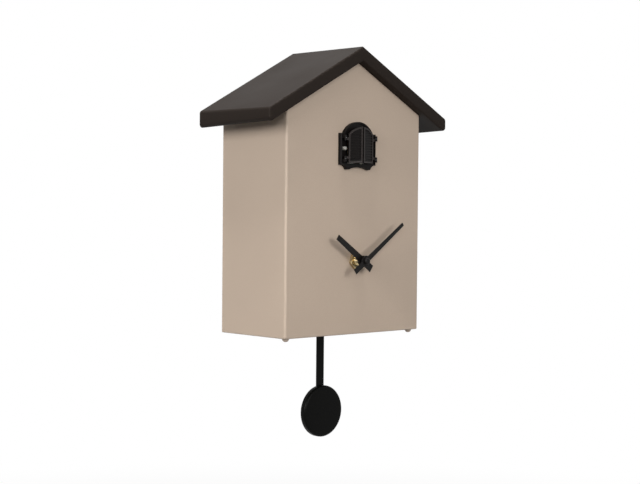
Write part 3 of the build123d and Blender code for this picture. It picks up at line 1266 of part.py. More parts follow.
def rod_strip(low, high):
    half = ROD_WIDTH / 2
    return block(-half, half, PENDULUM_Y - ROD_THICKNESS / 2, PENDULUM_Y + ROD_THICKNESS / 2, low, high)


def pendulum_hanger():
    half = HANGER_WIDTH / 2
    front = PENDULUM_Y - HANGER_THICKNESS / 2
    rear = PENDULUM_Y + HANGER_THICKNESS / 2
    low = PIVOT_HEIGHT - HANGER_DROP
    hub = BRACKET_SPAN / 2 - FIT
    plate = block(-half, half, front, rear, low, PIVOT_HEIGHT)
    plate += rod_y(0, PIVOT_HEIGHT, half, front, rear)
    plate += rod_y(0, PIVOT_HEIGHT, HANGER_HUB_RADIUS, PENDULUM_Y - hub, PENDULUM_Y + hub)
    plate -= rod_y(0, PIVOT_HEIGHT, PENDULUM_PIN_RADIUS + RUNNING, PENDULUM_Y - hub, PENDULUM_Y + hub)
    plate -= rod_strip(low, rod_top())
    return plate - rod_y(0, hook_height(), HOOK_PIN_RADIUS, front, rear)


def hook_pin():
    thick = HANGER_THICKNESS / 2
    return rod_y(0, hook_height(), HOOK_PIN_RADIUS, PENDULUM_Y - thick, PENDULUM_Y + thick)


def magnet_rear():
    return PENDULUM_Y + HANGER_THICKNESS / 2 + MAGNET_THICKNESS


def pendulum_magnet():
    rear = magnet_rear()
    return rod_y(0, PIVOT_HEIGHT - MAGNET_DROP, MAGNET_RADIUS, rear - MAGNET_THICKNESS, rear)


def drive_coil():
    seat = PENDULUM_Y + BRACKET_SPAN / 2
    front = magnet_rear() + COIL_AIR_GAP
    z = PIVOT_HEIGHT - MAGNET_DROP
    return rod_y(0, z, COIL_RADIUS, front, seat) - rod_y(0, z, COIL_BORE_RADIUS, front, seat)


def pendulum_rod():
    strip = rod_strip(-BOB_DROP - ROD_PAST_BOB_CENTRE, rod_top())
    return strip - hook_pin()


def pendulum_bob():
    """Disc with the rod let into a slot of its rear face."""
    rear = PENDULUM_Y + ROD_THICKNESS / 2
    disc = rod_y(0, -BOB_DROP, BOB_RADIUS, rear - BOB_THICKNESS, rear)
    rims = disc.edges().filter_by(GeomType.CIRCLE).group_by(Axis.Y)
    disc = fillet(rims[0], BOB_FRONT_RADIUS)
    disc = fillet(disc.edges().filter_by(GeomType.CIRCLE).group_by(Axis.Y)[-1], BOB_REAR_RADIUS)
    return disc - pendulum_rod()


# Speaker
def speaker_hollow():
    """Cone-shaped room inside the basket, about the centre of its front."""
    wide = SPEAKER_RADIUS - 2 * SPEAKER_WALL
    return Pos(0, -SPEAKER_DEPTH / 2, 0) * Rot(90, 0, 0) * Cone(wide, SPEAKER_THROAT_RADIUS, SPEAKER_DEPTH)


def speaker_basket():
    flange = rod_y(0, 0, SPEAKER_RADIUS, 0, -SPEAKER_FLANGE)
    neck = SPEAKER_THROAT_RADIUS + SPEAKER_WALL
    length = SPEAKER_DEPTH - SPEAKER_FLANGE
    wide = SPEAKER_RADIUS - SPEAKER_WALL
    bowl = Pos(0, -SPEAKER_FLANGE - length / 2, 0) * Rot(90, 0, 0) * Cone(wide, neck, length)
    basket = flange + bowl
    return Pos(SPEAKER_OFFSET, COVER_FRONT, SPEAKER_HEIGHT) * (basket - speaker_hollow())


def speaker_cone():
    paper = speaker_hollow() - Pos(0, SPEAKER_WALL, 0) * speaker_hollow()
    behind_rim = rod_y(0, 0, SPEAKER_RADIUS, -SPEAKER_WALL, -SPEAKER_DEPTH)
    return Pos(SPEAKER_OFFSET, COVER_FRONT, SPEAKER_HEIGHT) * (paper & behind_rim)


def speaker_magnet():
    seat = COVER_FRONT - SPEAKER_DEPTH
    return rod_y(SPEAKER_OFFSET, SPEAKER_HEIGHT, SPEAKER_MAGNET_RADIUS, seat, seat - SPEAKER_MAGNET_DEPTH)


# Main board and controls
def main_board():
    wide = BOARD_WIDTH / 2
    tall = BOARD_TALL / 2
    board = block(BOARD_OFFSET - wide, BOARD_OFFSET + wide, board_front(), BOARD_REAR,
                  BOARD_HEIGHT - tall, BOARD_HEIGHT + tall)
    for x, z in board_post_places():
        board -= rod_y(x, z, SCREW_RADIUS + SLIDE, board_front(), BOARD_REAR)
    return board


def board_components():
    """Mode switch, volume control and push switch on the rear of the board."""
    wide = SWITCH_WIDTH / 2
    tall = SWITCH_TALL / 2
    switch = block(SWITCH_OFFSET - wide, SWITCH_OFFSET + wide, BOARD_REAR, BOARD_REAR + SWITCH_DEPTH,
                   SWITCH_HEIGHT - tall, SWITCH_HEIGHT + tall)
    pot_rear = BOARD_REAR + POT_DEPTH
    pot = rod_y(VOLUME_OFFSET, VOLUME_HEIGHT, POT_RADIUS, BOARD_REAR, pot_rear)
    pot -= rod_y(VOLUME_OFFSET, VOLUME_HEIGHT, VOLUME_STEM_RADIUS + RUNNING, BOARD_REAR + POT_FLOOR, pot_rear)
    tact_half = TACT_SIZE / 2
    tact_rear = BOARD_REAR + TACT_DEPTH
    tact = block(BUTTON_OFFSET - tact_half, BUTTON_OFFSET + tact_half, BOARD_REAR, tact_rear,
                 BUTTON_HEIGHT - tact_half, BUTTON_HEIGHT + tact_half)
    stem_room = BUTTON_STEM_RADIUS + RUNNING
    tact -= rod_y(BUTTON_OFFSET, BUTTON_HEIGHT, stem_room, BOARD_REAR + TACT_FLOOR, tact_rear)
    return [switch, pot, tact]


def mode_slider():
    foot = BOARD_REAR + SWITCH_DEPTH + SLIDE
    half = SLIDER_WIDTH / 2
    tall = SLIDER_TALL / 2
    lever = block(SWITCH_OFFSET - half, SWITCH_OFFSET + half, foot, COVER_REAR + CONTROL_STANDOUT,
                  SWITCH_HEIGHT - tall, SWITCH_HEIGHT + tall)
    return lever + block(SWITCH_OFFSET - SLIDER_FOOT_WIDTH / 2, SWITCH_OFFSET + SLIDER_FOOT_WIDTH / 2,
                         foot, foot + SLIDER_FOOT_DEPTH, SWITCH_HEIGHT - tall, SWITCH_HEIGHT + tall)


def volume_knob():
    stem_end = BOARD_REAR + POT_FLOOR + FIT
    seat = COVER_REAR + FIT
    knob = rod_y(VOLUME_OFFSET, VOLUME_HEIGHT, VOLUME_KNOB_RADIUS, seat, seat + VOLUME_KNOB_LENGTH)
    return knob + rod_y(VOLUME_OFFSET, VOLUME_HEIGHT, VOLUME_STEM_RADIUS, stem_end, seat)


def test_button():
    rear = COVER_REAR + CONTROL_STANDOUT
    stem_end = BOARD_REAR + TACT_FLOOR + BUTTON_TRAVEL + FIT
    cap = rod_y(BUTTON_OFFSET, BUTTON_HEIGHT, BUTTON_RADIUS, rear - BUTTON_CAP_LENGTH, rear)
    return cap + rod_y(BUTTON_OFFSET, BUTTON_HEIGHT, BUTTON_STEM_RADIUS, stem_end, rear - BUTTON_CAP_LENGTH)


# Leads from the front of the main board to what it feeds
def lead(*points):
    """One round lead through its points, with a tangent bend at each inner point."""
    path = FilletPolyline(*points, radius=LEAD_BEND)
    return sweep(Plane(origin=path @ 0, z_dir=path % 0) * Circle(LEAD_RADIUS), path=path)


def board_front():
    return BOARD_REAR - BOARD_THICKNESS


def board_side():
    return BOARD_OFFSET + BOARD_WIDTH / 2 - LEAD_INSET


def board_top():
    return BOARD_HEIGHT + BOARD_TALL / 2 - LEAD_INSET


def speaker_lead():
    x = SPEAKER_OFFSET
    magnet_front = COVER_FRONT - SPEAKER_DEPTH - SPEAKER_MAGNET_DEPTH
    bend = magnet_front - LEAD_REACH
    return lead((x, board_front(), board_top()), (x, bend, board_top()),
                (x, bend, SPEAKER_HEIGHT), (x, magnet_front, SPEAKER_HEIGHT))


def battery_lead():
    x0 = board_side()
    x1 = TRAY_OFFSET - TRAY_INNER_WIDTH / 2 + LEAD_INSET
    tray_front = TRAY_FLOOR - TRAY_WALL
    bend = tray_front - LEAD_REACH
    above_bracket = PIVOT_HEIGHT + BRACKET_HEADROOM + BRACKET_PLATE + LEAD_INSET
    return lead((x0, board_front(), above_bracket), (x0, bend, above_bracket),
                (x1, bend, above_bracket), (x1, tray_front, above_bracket))


def motor_lead():
    x = board_side() - LEAD_INSET
    bend = board_front() - LEAD_REACH
    motor_low = GEAR_PLATE_BOTTOM - MOTOR_LENGTH
    below = motor_low - LEAD_REACH
    return lead((x, board_front(), board_top()), (x, bend, board_top()), (x, bend, below),
                (DRIVE_X, MOTOR_Y, below), (DRIVE_X, MOTOR_Y, motor_low))


def sensor_lead():
    """Up the left of the case, over the chassis wall and forward to the light sensor."""
    x0 = BOARD_OFFSET - BOARD_WIDTH / 2 + LEAD_INSET
    x1 = -SENSOR_OFFSET
    bend = board_front() - LEAD_REACH
    drop = FLANGE_REAR + 2 * LEAD_REACH
    over_wall = CHASSIS_FLOOR_TOP + CHASSIS_SIDE_HEIGHT + LEAD_INSET
    return lead((x0, board_front(), board_top()), (x0, bend, board_top()), (x0, bend, over_wall),
                (x1, bend, over_wall), (x1, drop, over_wall),
                (x1, drop, SENSOR_HEIGHT), (x1, FLANGE_REAR, SENSOR_HEIGHT))


def movement_lead():
    x = board_side()
    high = DIAL_HEIGHT + LEAD_REACH
    return lead((x, board_front(), DIAL_HEIGHT), (x, board_front() - LEAD_REACH, DIAL_HEIGHT),
                (x, MOVEMENT_REAR + LEAD_REACH, high), (x, MOVEMENT_REAR, high))


def coil_lead():
    x0 = board_side() + LEAD_INSET / 2
    x1 = LEAD_INSET - BRACKET_WIDTH / 2
    high = BOARD_HEIGHT - LEAD_REACH
    coil_height = PIVOT_HEIGHT - MAGNET_DROP
    bracket_rear = bracket_plates()[1][1]
    bend = bracket_rear + LEAD_INSET
    return lead((x0, board_front(), high), (x0, bend, high), (x1, bend, coil_height),
                (x1, bracket_rear, coil_height))


def lead_wires():
    return [speaker_lead(), battery_lead(), motor_lead(), sensor_lead(), movement_lead(), coil_lead()]


PIECES = (
    house_body, roof_shell, bumper_feet, rear_cover, cover_screws, pan_head_screws,
    battery_tray, battery_cells, battery_contacts, battery_door,
    window_frame, light_sensor, left_door, right_door, door_pins,
    cuckoo_chassis, gear_plate, drive_gear, motor_pinion, drive_motor,
    bird_carriage, cuckoo_bird, bird_wings, bird_beak,
    movement_case_front, movement_case_rear, threaded_bush, bush_washer, bush_nut,
    hour_wheel, hour_hand, motion_wheel, setting_knob, minute_arbor, minute_hand, hand_cap,
    third_wheel, stepper_pinion, stepper_motor, movement_board,
    pendulum_bracket, pendulum_pin, pendulum_hanger, hook_pin, pendulum_magnet, drive_coil,
    pendulum_rod, pendulum_bob,
    speaker_basket, speaker_cone, speaker_magnet,
    main_board, board_components, mode_slider, volume_knob, test_button, lead_wires,
)


def main():
    os.makedirs("parts", exist_ok=True)
    to_keyhole = Pos(0, -COVER_REAR, -KEYHOLE_HEIGHT)
    for piece in PIECES:
        shape = piece()
        solids = shape if isinstance(shape, list) else [shape]
        placed = [to_keyhole * solid for each in solids for solid in each.solids()]
        export_step(placed[0] if len(placed) == 1 else Compound(placed), f"parts/{piece.__name__}.step")


if __name__ == "__main__":
    main()
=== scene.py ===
import json
import math

import bmesh
import bpy
from bpy.props import FloatProperty, FloatVectorProperty, IntProperty, PointerProperty
from mathutils import Matrix, Vector


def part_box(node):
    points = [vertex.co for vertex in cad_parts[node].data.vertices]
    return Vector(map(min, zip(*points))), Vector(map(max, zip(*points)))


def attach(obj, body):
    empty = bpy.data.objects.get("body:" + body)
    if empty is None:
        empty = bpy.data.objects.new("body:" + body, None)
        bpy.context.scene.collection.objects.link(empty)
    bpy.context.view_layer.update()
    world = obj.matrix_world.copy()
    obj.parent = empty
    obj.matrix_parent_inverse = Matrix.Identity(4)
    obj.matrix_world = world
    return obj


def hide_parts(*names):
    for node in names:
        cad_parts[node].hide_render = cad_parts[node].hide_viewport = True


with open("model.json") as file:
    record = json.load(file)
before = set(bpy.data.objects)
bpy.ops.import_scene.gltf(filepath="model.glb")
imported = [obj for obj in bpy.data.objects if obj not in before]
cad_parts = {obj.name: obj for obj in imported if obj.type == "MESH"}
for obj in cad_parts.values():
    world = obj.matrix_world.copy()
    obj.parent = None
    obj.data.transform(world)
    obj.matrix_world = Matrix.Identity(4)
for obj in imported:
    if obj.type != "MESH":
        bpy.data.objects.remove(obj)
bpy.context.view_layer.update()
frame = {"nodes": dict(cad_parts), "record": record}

bl_info = {
    "name": "Cuckoo clock looks",
    "version": (1, 0, 0),
    "blender": (4, 5, 0),
    "location": "3D View > Sidebar > Clock",
    "description": "Dresses the frame of a house-shaped cuckoo clock and sets up its studio",
    "category": "Object",
}

MM = 0.001
# Vertices closer than this become one
MERGE_DISTANCE = 0.002 * MM
# Faces flatter to each other than this are joined, and edges turned more than this stay sharp
FLAT_ANGLE = math.radians(0.6)
SHARP_ANGLE = math.radians(32)
# Slack when two angles are compared
ANGLE_SLACK = 1e-6
# Turn that lays the Z axis towards the front
UPRIGHT = (math.radians(90), 0.0, 0.0)

# Steps round a turned piece, along a dome, along a foot's outline and round a screw's cross
ROUND_STEPS = 96
DOME_STEPS = 16
FOOT_STEPS = 12
CROSS_STEPS = 24
# Sides of a knob's rib and of the ridge of a thread
RIB_SIDES = 10
RIDGE_SIDES = 6
# A foot's outline is a quarter circle, filled out a little by a power below one
FOOT_FULLNESS = 0.85
# Share of the bob's flat radius between two rings of its domed front
BOB_STEP = 0.15
# Rounds of smoothing on the melted bird
RELAX_ROUNDS = 6

# A door's border: faces whose normals have less Y than this look forward, those whose normals are more
# alike than this are parallel, and parallel faces within this depth of the foremost are the border, which
# gets a paler tone as a painted highlight
FORWARD = -0.9
SAME_WAY = 0.999
FRONT_DEPTH = 0.1 * MM

# Place of an eye: out from the middle, back from the bird's front and down from its crown
EYE_SEAT = (4.1 * MM, 3.0 * MM, 3.6 * MM)
# Depths below the crown where the bird's paint turns from pale to brown
BREAST_DEPTHS = (13.6 * MM, 9.6 * MM)
# Depths below the top of the cells where their jackets turn from dark to copper-coloured
JACKET_DEPTHS = (14.25 * MM, 13.75 * MM)

# A wave texture of scale 1 repeats at this distance
WAVE_LENGTH = 0.314
# Distance over which a moulding's tone drifts
DRIFT = 70 * MM

# Lamps: place and size in metres, and spread in degrees
LAMPS = {
    "key": ((-0.1, -1.4, 0.2), 0.6, 180),
    "side": ((-1.6, -0.35, 0.35), 0.7, 180),
    "top": ((-0.35, -0.1, 1.6), 0.6, 50),
    "corner": ((-1.25, -1.3, 0.25), 0.25, 180),
}
# Point that the lamps are aimed at
LIGHT_TARGET = Vector((0.0, -0.04, -0.09))

# Floor: half its width, and the distances between which it fades to plain white
FLOOR_HALF = 12.0
SHADOW_REACH = (0.7, 1.5)
# Paleness of the floor to bounced light and to the eye
FLOOR_TONES = (0.16, 0.86)

# Camera fitted to the photo, with the width of its sensor in millimetres
CAMERA_PLACE = Vector((-0.8673, -0.9564, -0.0755))
CAMERA_YAW = math.radians(43.17)
CAMERA_PITCH = math.radians(-1.59)
CAMERA_ROLL = math.radians(0.51)
CAMERA_WIDTH = 36.0


def linear(code):
    """Linear colour, with alpha, of an sRGB hex code."""
    channels = [int(code[i:i + 2], 16) / 255 for i in (1, 3, 5)]
    return (*[c / 12.92 if c <= 0.04045 else ((c + 0.055) / 1.055) ** 2.4 for c in channels], 1.0)


def colour(label, text, code):
    """Property for a colour, from its sRGB hex code."""
    return FloatVectorProperty(name=label, description=text, subtype="COLOR", size=4, min=0.0, max=1.0,
                               default=linear(code))


def length(label, text, size):
    """Property for a length, given in millimetres."""
    return FloatProperty(name=label, description=text, unit="LENGTH", subtype="DISTANCE", min=0.0,
                         precision=5, default=size * MM)


# What a user would change
class ClockColours(bpy.types.PropertyGroup):
    """Colours of the finishes"""
    case: colour("Case", "Moulded walls of the house", "#AF9E8E")
    roof: colour("Roof", "Moulded gable roof", "#1F1915")
    trim: colour("Trim", "Window frame and doors", "#120F0E")
    hands: colour("Hands", "Lacquer on the hands and their cap", "#100E0D")
    pendulum: colour("Pendulum", "Lacquer on the pendulum's rod and bob", "#070706")
    cover: colour("Rear cover", "Textured cover at the back", "#242221")
    brass: colour("Brass", "Nut, bush and arbors", "#C3B189")
    bird: colour("Bird", "Back and head of the bird", "#6F4A2C")
    breast: colour("Breast", "Pale underside of the bird", "#D8C6A2")


class ClockSizes(bpy.types.PropertyGroup):
    """Sizes of detail that the boxes of the nodes don't give"""
    moulded_edge: length("Moulded edge", "Radius broken on the edges of the large mouldings", 0.35)
    fine_edge: length("Fine edge", "Radius broken on the edges of small pieces", 0.14)
    thread_pitch: length("Thread pitch", "Pitch of the dial bush's thread", 0.75)
    thread_depth: length("Thread depth", "Depth of the dial bush's thread", 0.3)
    bush_bore: length("Bush bore", "Radius of the hole through the dial bush", 2.55)
    bush_flange: length("Bush flange", "Thickness of the dial bush's flange", 1.0)
    bush_radius: length("Bush radius", "Radius over the dial bush's thread", 4.0)
    bob_front: length("Bob front edge", "Radius round the front rim of the bob", 2.2)
    bob_rear: length("Bob rear edge", "Radius round the rear rim of the bob", 1.2)
    bob_dome: length("Bob dome", "Rise of the bob's front towards its middle", 0.3)
    bob_sink: length("Bob sink", "Depth of the bob's rear below the rod let into it", 0.2)
    knob_length: length("Knob length", "Length of the knobs at the back", 4.0)
    knob_ribs: IntProperty(name="Knob ribs", description="Ribs round each knob", default=36, min=6)
    rib_radius: length("Rib radius", "Radius of one rib on a knob", 0.35)
    stem_radius: length("Stem radius", "Radius of the volume knob's stem", 2.0)
    shank_radius: length("Shank radius", "Radius of a cover screw's shank", 1.4)
    head_radius: length("Head radius", "Radius of a cover screw's head", 2.8)
    head_height: length("Head height", "Height of a cover screw's head", 1.5)
    recess_length: length("Recess length", "Half length of the cross in a screw head", 1.5)
    recess_depth: length("Recess depth", "Depth of the cross in a screw head", 0.8)
    bird_softness: length("Bird softness", "Grain to which the bird's joins are melted", 0.45)
    eye_radius: length("Eye radius", "Radius of the bird's bead eyes", 0.95)


class ClockStage(bpy.types.PropertyGroup):
    """Lights, floor and lens of the studio"""
    key_power: FloatProperty(name="Key power", description="Large soft light before the dial",
                             default=9.0, unit="POWER")
    side_power: FloatProperty(name="Side power", description="Soft light on the left side wall",
                              default=18.5, unit="POWER")
    top_power: FloatProperty(name="Top power", description="Narrow soft light over the roof",
                             default=4.0, unit="POWER")
    corner_power: FloatProperty(name="Corner power", description="Small light that glints on rounded corners",
                                default=6.5, unit="POWER")
    ambient: FloatProperty(name="Ambient", description="Even light from the white surround", default=0.28)
    floor_drop: length("Floor drop", "Height of the keyhole above the floor", 560.0)
    lens: FloatProperty(name="Lens", description="Focal length on a 36 mm sensor", default=79.64,
                        unit="CAMERA")


# Nodes and meshes
def add_node(tree, kind, inputs=None, **settings):
    """Add a node with its settings: an input given as a socket is linked, any other value is set."""
    node = tree.nodes.new(kind)
    for name, value in settings.items():
        setattr(node, name, value)
    for name, value in (inputs or {}).items():
        if isinstance(value, bpy.types.NodeSocket):
            tree.links.new(value, node.inputs[name])
        else:
            node.inputs[name].default_value = value
    return node


def start_material(name):
    """New material, its node tree, and the place on the object by which its patterns are laid out."""
    material = bpy.data.materials.new(name)
    material.use_nodes = True
    tree = material.node_tree
    tree.nodes.clear()
    return material, tree, add_node(tree, "ShaderNodeTexCoord").outputs["Object"]


def shade(rgba, factor):
    """Colour made lighter or darker by a factor."""
    return (*[min(1.0, c * factor) for c in rgba[:3]], 1.0)


def body_of(node):
    """Body that a CAD node moves with."""
    return next(body for body, nodes in frame["record"]["behaviour"]["bodies"].items() if node in nodes)


def node_copy(node):
    """Copy of a CAD node's mesh with its loose triangles merged and its flat faces joined."""
    shape = bmesh.new()
    shape.from_mesh(frame["nodes"][node].data)
    bmesh.ops.remove_doubles(shape, verts=shape.verts, dist=MERGE_DISTANCE)
    bmesh.ops.dissolve_limit(shape, angle_limit=FLAT_ANGLE, verts=shape.verts, edges=shape.edges)
    return shape


def mesh_of(shape, name):
    """Mesh made from a shape, which is then freed."""
    mesh = bpy.data.meshes.new(name)
    shape.to_mesh(mesh)
    shape.free()
    return mesh


def piece(name, shape, material, *nodes, edge=0.0, added=False):
    """Finished piece that rides with its CAD nodes' body and stands for those nodes, unless it is added."""
    mesh = mesh_of(shape, name)
    mesh.materials.clear()
    mesh.materials.append(material)
    mesh.shade_smooth()
    mesh.set_sharp_from_angle(angle=SHARP_ANGLE)
    made = bpy.data.objects.new(name, mesh)
    bpy.context.scene.collection.objects.link(made)
    if edge:
        bevel = made.modifiers.new("broken_edges", "BEVEL")
        bevel.width = edge
        bevel.segments = 2
        bevel.limit_method = "ANGLE"
        bevel.angle_limit = SHARP_ANGLE
        bevel.use_clamp_overlap = True
        bevel.harden_normals = True
    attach(made, body_of(nodes[0]))
    if not added:
        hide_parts(*nodes)
    return made


def dress(material, *nodes):
    """Give CAD nodes that keep their own shape a finish."""
    for node in nodes:
        mesh = frame["nodes"][node].data
        mesh.materials.clear()
        mesh.materials.append(material)


def join_rings(shape, rings, closed=True):
    """Faces between neighbouring rings of vertices; a ring of one vertex is a pole."""
    for low, high in zip(rings, rings[1:]):
        count = max(len(low), len(high))
        for i in range(count if closed else count - 1):
            k = (i + 1) % count
            corners = [low[i % len(low)], low[k % len(low)], high[k % len(high)], high[i % len(high)]]
            shape.faces.new(list(dict.fromkeys(corners)))


def turned(shape, profile, centre, axis="Y", steps=ROUND_STEPS):
    """Turn a profile of (radius, distance along the axis) about an axis through a centre."""
    rings = []
    for radius, along in profile:
        count = steps if radius > MERGE_DISTANCE else 1
        ring = []
        for angle in [2 * math.pi * i / count for i in range(count)]:
            across, up = radius * math.cos(angle), radius * math.sin(angle)
            offset = (across, along, up) if axis == "Y" else (across, up, along)
            ring.append(shape.verts.new(Vector(centre) + Vector(offset)))
        rings.append(ring)
    join_rings(shape, rings)
    bmesh.ops.recalc_face_normals(shape, faces=shape.faces)


def arc(middle, radius, start, end, steps=8):
    """Points of an arc in a profile, with angles in degrees from the radius direction."""
    angles = [math.radians(start + (end - start) * i / steps) for i in range(steps + 1)]
    return [(middle[0] + radius * math.cos(a), middle[1] + radius * math.sin(a)) for a in angles]


# Geometry node trees
def start_tree(name, **kinds):
    """New tree with a shape to repeat, its named sizes, and the finish of what it makes."""
    tree = bpy.data.node_groups.new(name, "GeometryNodeTree")
    tree.interface.new_socket("Geometry", in_out="OUTPUT", socket_type="NodeSocketGeometry")
    tree.interface.new_socket("Shape", in_out="INPUT", socket_type="NodeSocketGeometry")
    for label, kind in kinds.items():
        tree.interface.new_socket(label, in_out="INPUT", socket_type=kind)
    tree.interface.new_socket("Finish", in_out="INPUT", socket_type="NodeSocketMaterial")
    return tree, add_node(tree, "NodeGroupInput").outputs


def end_tree(tree, given, geometry):
    """Finish a tree: copies become plain mesh and take the finish."""
    plain = add_node(tree, "GeometryNodeRealizeInstances", {"Geometry": geometry}).outputs[0]
    done = add_node(tree, "GeometryNodeSetMaterial", {"Geometry": plain, "Material": given["Finish"]})
    add_node(tree, "NodeGroupOutput", {"Geometry": done.outputs[0]})
    return tree


def evaluated(holder, onto=None):
    """Plain shape of a holder with its modifiers applied, added to another shape if one is given."""
    bpy.context.scene.collection.objects.link(holder)
    seen = holder.evaluated_get(bpy.context.evaluated_depsgraph_get())
    mesh = bpy.data.meshes.new_from_object(seen)
    bpy.data.objects.remove(holder)
    shape = bmesh.new() if onto is None else onto
    shape.from_mesh(mesh)
    bpy.data.meshes.remove(mesh)
    return shape


def grown(tree, shape, onto=None, **sizes):
    """What a tree makes of a shape, with the tree's inputs set by identifier."""
    holder = bpy.data.objects.new(tree.name, mesh_of(shape, tree.name))
    modifier = holder.modifiers.new(tree.name, "NODES")
    modifier.node_group = tree
    for item in tree.interface.items_tree:
        if item.name in sizes:
            modifier[item.identifier] = sizes[item.name]
    return evaluated(holder, onto)


def softened(node, grain):
    """Copy of a CAD node with its joins melted together, as under coats of paint."""
    holder = bpy.data.objects.new("softened", mesh_of(node_copy(node), "softened"))
    melted = holder.modifiers.new("melted", "REMESH")
    melted.mode = "VOXEL"
    melted.voxel_size = grain
    relaxed = holder.modifiers.new("relaxed", "SMOOTH")
    relaxed.iterations = RELAX_ROUNDS
    return evaluated(holder)


def grid_tree():
    """A shape repeated on the points of a grid that is turned and moved into place."""
    tree, given = start_tree("points_of_a_grid", Columns="NodeSocketInt", Rows="NodeSocketInt",
                             Across="NodeSocketFloat", Along="NodeSocketFloat",
                             Turn="NodeSocketVector", Centre="NodeSocketVector")
    grid = add_node(tree, "GeometryNodeMeshGrid", {
        "Size X": given["Across"], "Size Y": given["Along"],
        "Vertices X": given["Columns"], "Vertices Y": given["Rows"]})
    placed = add_node(tree, "GeometryNodeTransform", {
        "Geometry": grid.outputs[0], "Rotation": given["Turn"], "Translation": given["Centre"]})
    copies = add_node(tree, "GeometryNodeInstanceOnPoints", {
        "Points": placed.outputs[0], "Instance": given["Shape"]})
    return end_tree(tree, given, copies.outputs[0])


def ring_tree():
    """A shape repeated round a circle about Z, each copy facing outwards, then turned and moved."""
    tree, given = start_tree("points_of_a_ring", Count="NodeSocketInt", Radius="NodeSocketFloat",
                             Turn="NodeSocketVector", Centre="NodeSocketVector")
    circle = add_node(tree, "GeometryNodeMeshCircle", {"Vertices": given["Count"], "Radius": given["Radius"]})
    number = add_node(tree, "GeometryNodeInputIndex")
    share = add_node(tree, "ShaderNodeMath", {0: number.outputs[0], 1: given["Count"]}, operation="DIVIDE")
    angle = add_node(tree, "ShaderNodeMath", {0: share.outputs[0], 1: 2 * math.pi}, operation="MULTIPLY")
    facing = add_node(tree, "ShaderNodeCombineXYZ", {"Z": angle.outputs[0]})
    copies = add_node(tree, "GeometryNodeInstanceOnPoints", {
        "Points": circle.outputs[0], "Instance": given["Shape"], "Rotation": facing.outputs[0]})
    placed = add_node(tree, "GeometryNodeTransform", {
        "Geometry": copies.outputs[0], "Rotation": given["Turn"], "Translation": given["Centre"]})
    return end_tree(tree, given, placed.outputs[0])


def thread_tree():
    """A ridge wound along a screw line about Z, then turned and moved."""
    tree, given = start_tree("wound_ridge", Turns="NodeSocketFloat", Radius="NodeSocketFloat",
                             Height="NodeSocketFloat", Ridge="NodeSocketFloat", Sides="NodeSocketInt",
                             Steps="NodeSocketInt", Turn="NodeSocketVector", Centre="NodeSocketVector")
    line = add_node(tree, "GeometryNodeCurveSpiral", {
        "Resolution": given["Steps"], "Rotations": given["Turns"], "Start Radius": given["Radius"],
        "End Radius": given["Radius"], "Height": given["Height"]})
    section = add_node(tree, "GeometryNodeCurvePrimitiveCircle", {
        "Resolution": given["Sides"], "Radius": given["Ridge"]})
    wound = add_node(tree, "GeometryNodeCurveToMesh", {
        "Curve": line.outputs[0], "Profile Curve": section.outputs[0], "Fill Caps": True})
    placed = add_node(tree, "GeometryNodeTransform", {
        "Geometry": wound.outputs[0], "Rotation": given["Turn"], "Translation": given["Centre"]})
    return end_tree(tree, given, placed.outputs[0])


# Materials
def moulded_plastic(name, rgba, roughness, specular, grain, relief):
    """Injection-moulded plastic from a finely eroded mould: the grain breaks up the gloss, and the tone
    and gloss drift a little over a hand's breadth. The grain is drawn coarser than life, so that it shows."""
    material, tree, place = start_material(name)
    fine = add_node(tree, "ShaderNodeTexNoise", {
        "Vector": place, "Scale": 1 / (grain * MM), "Detail": 3.0, "Roughness": 0.6}).outputs["Fac"]
    broad = add_node(tree, "ShaderNodeTexNoise", {
        "Vector": place, "Scale": 1 / DRIFT, "Detail": 2.0}).outputs["Fac"]
    tone = add_node(tree, "ShaderNodeMix", {0: broad, 6: shade(rgba, 0.955), 7: shade(rgba, 1.045)},
                    data_type="RGBA").outputs[2]
    speck = add_node(tree, "ShaderNodeMapRange", {
        "Value": fine, "From Min": 0.3, "From Max": 0.7, "To Min": 0.97, "To Max": 1.03}).outputs[0]
    base = add_node(tree, "ShaderNodeMix", {0: 1.0, 6: tone, 7: speck}, data_type="RGBA",
                    blend_type="MULTIPLY").outputs[2]
    gloss = add_node(tree, "ShaderNodeMapRange", {
        "Value": broad, "From Min": 0.3, "From Max": 0.7,
        "To Min": roughness - 0.04, "To Max": roughness + 0.04}).outputs[0]
    bump = add_node(tree, "ShaderNodeBump", {"Height": fine, "Strength": 0.35, "Distance": relief * MM})
    shader = add_node(tree, "ShaderNodeBsdfPrincipled", {
        "Base Color": base, "Roughness": gloss, "Specular IOR Level": specular, "IOR": 1.53,
        "Normal": bump.outputs[0]})
    add_node(tree, "ShaderNodeOutputMaterial", {"Surface": shader.outputs[0]})
    return material


def lacquer(name, rgba, roughness, specular):
    """Sprayed semi-matt lacquer: a soft, slightly rippled skin with a broad dim highlight."""
    material, tree, place = start_material(name)
    ripple = add_node(tree, "ShaderNodeTexNoise", {
        "Vector": place, "Scale": 1 / (1.2 * MM), "Detail": 2.0}).outputs["Fac"]
    tone = add_node(tree, "ShaderNodeMix", {0: ripple, 6: shade(rgba, 0.9), 7: shade(rgba, 1.1)},
                    data_type="RGBA").outputs[2]
    gloss = add_node(tree, "ShaderNodeMapRange", {
        "Value": ripple, "To Min": roughness - 0.05, "To Max": roughness + 0.05}).outputs[0]
    bump = add_node(tree, "ShaderNodeBump", {"Height": ripple, "Strength": 0.2, "Distance": 0.05 * MM})
    shader = add_node(tree, "ShaderNodeBsdfPrincipled", {
        "Base Color": tone, "Roughness": gloss, "Specular IOR Level": specular, "IOR": 1.5,
        "Normal": bump.outputs[0]})
    add_node(tree, "ShaderNodeOutputMaterial", {"Surface": shader.outputs[0]})
    return material


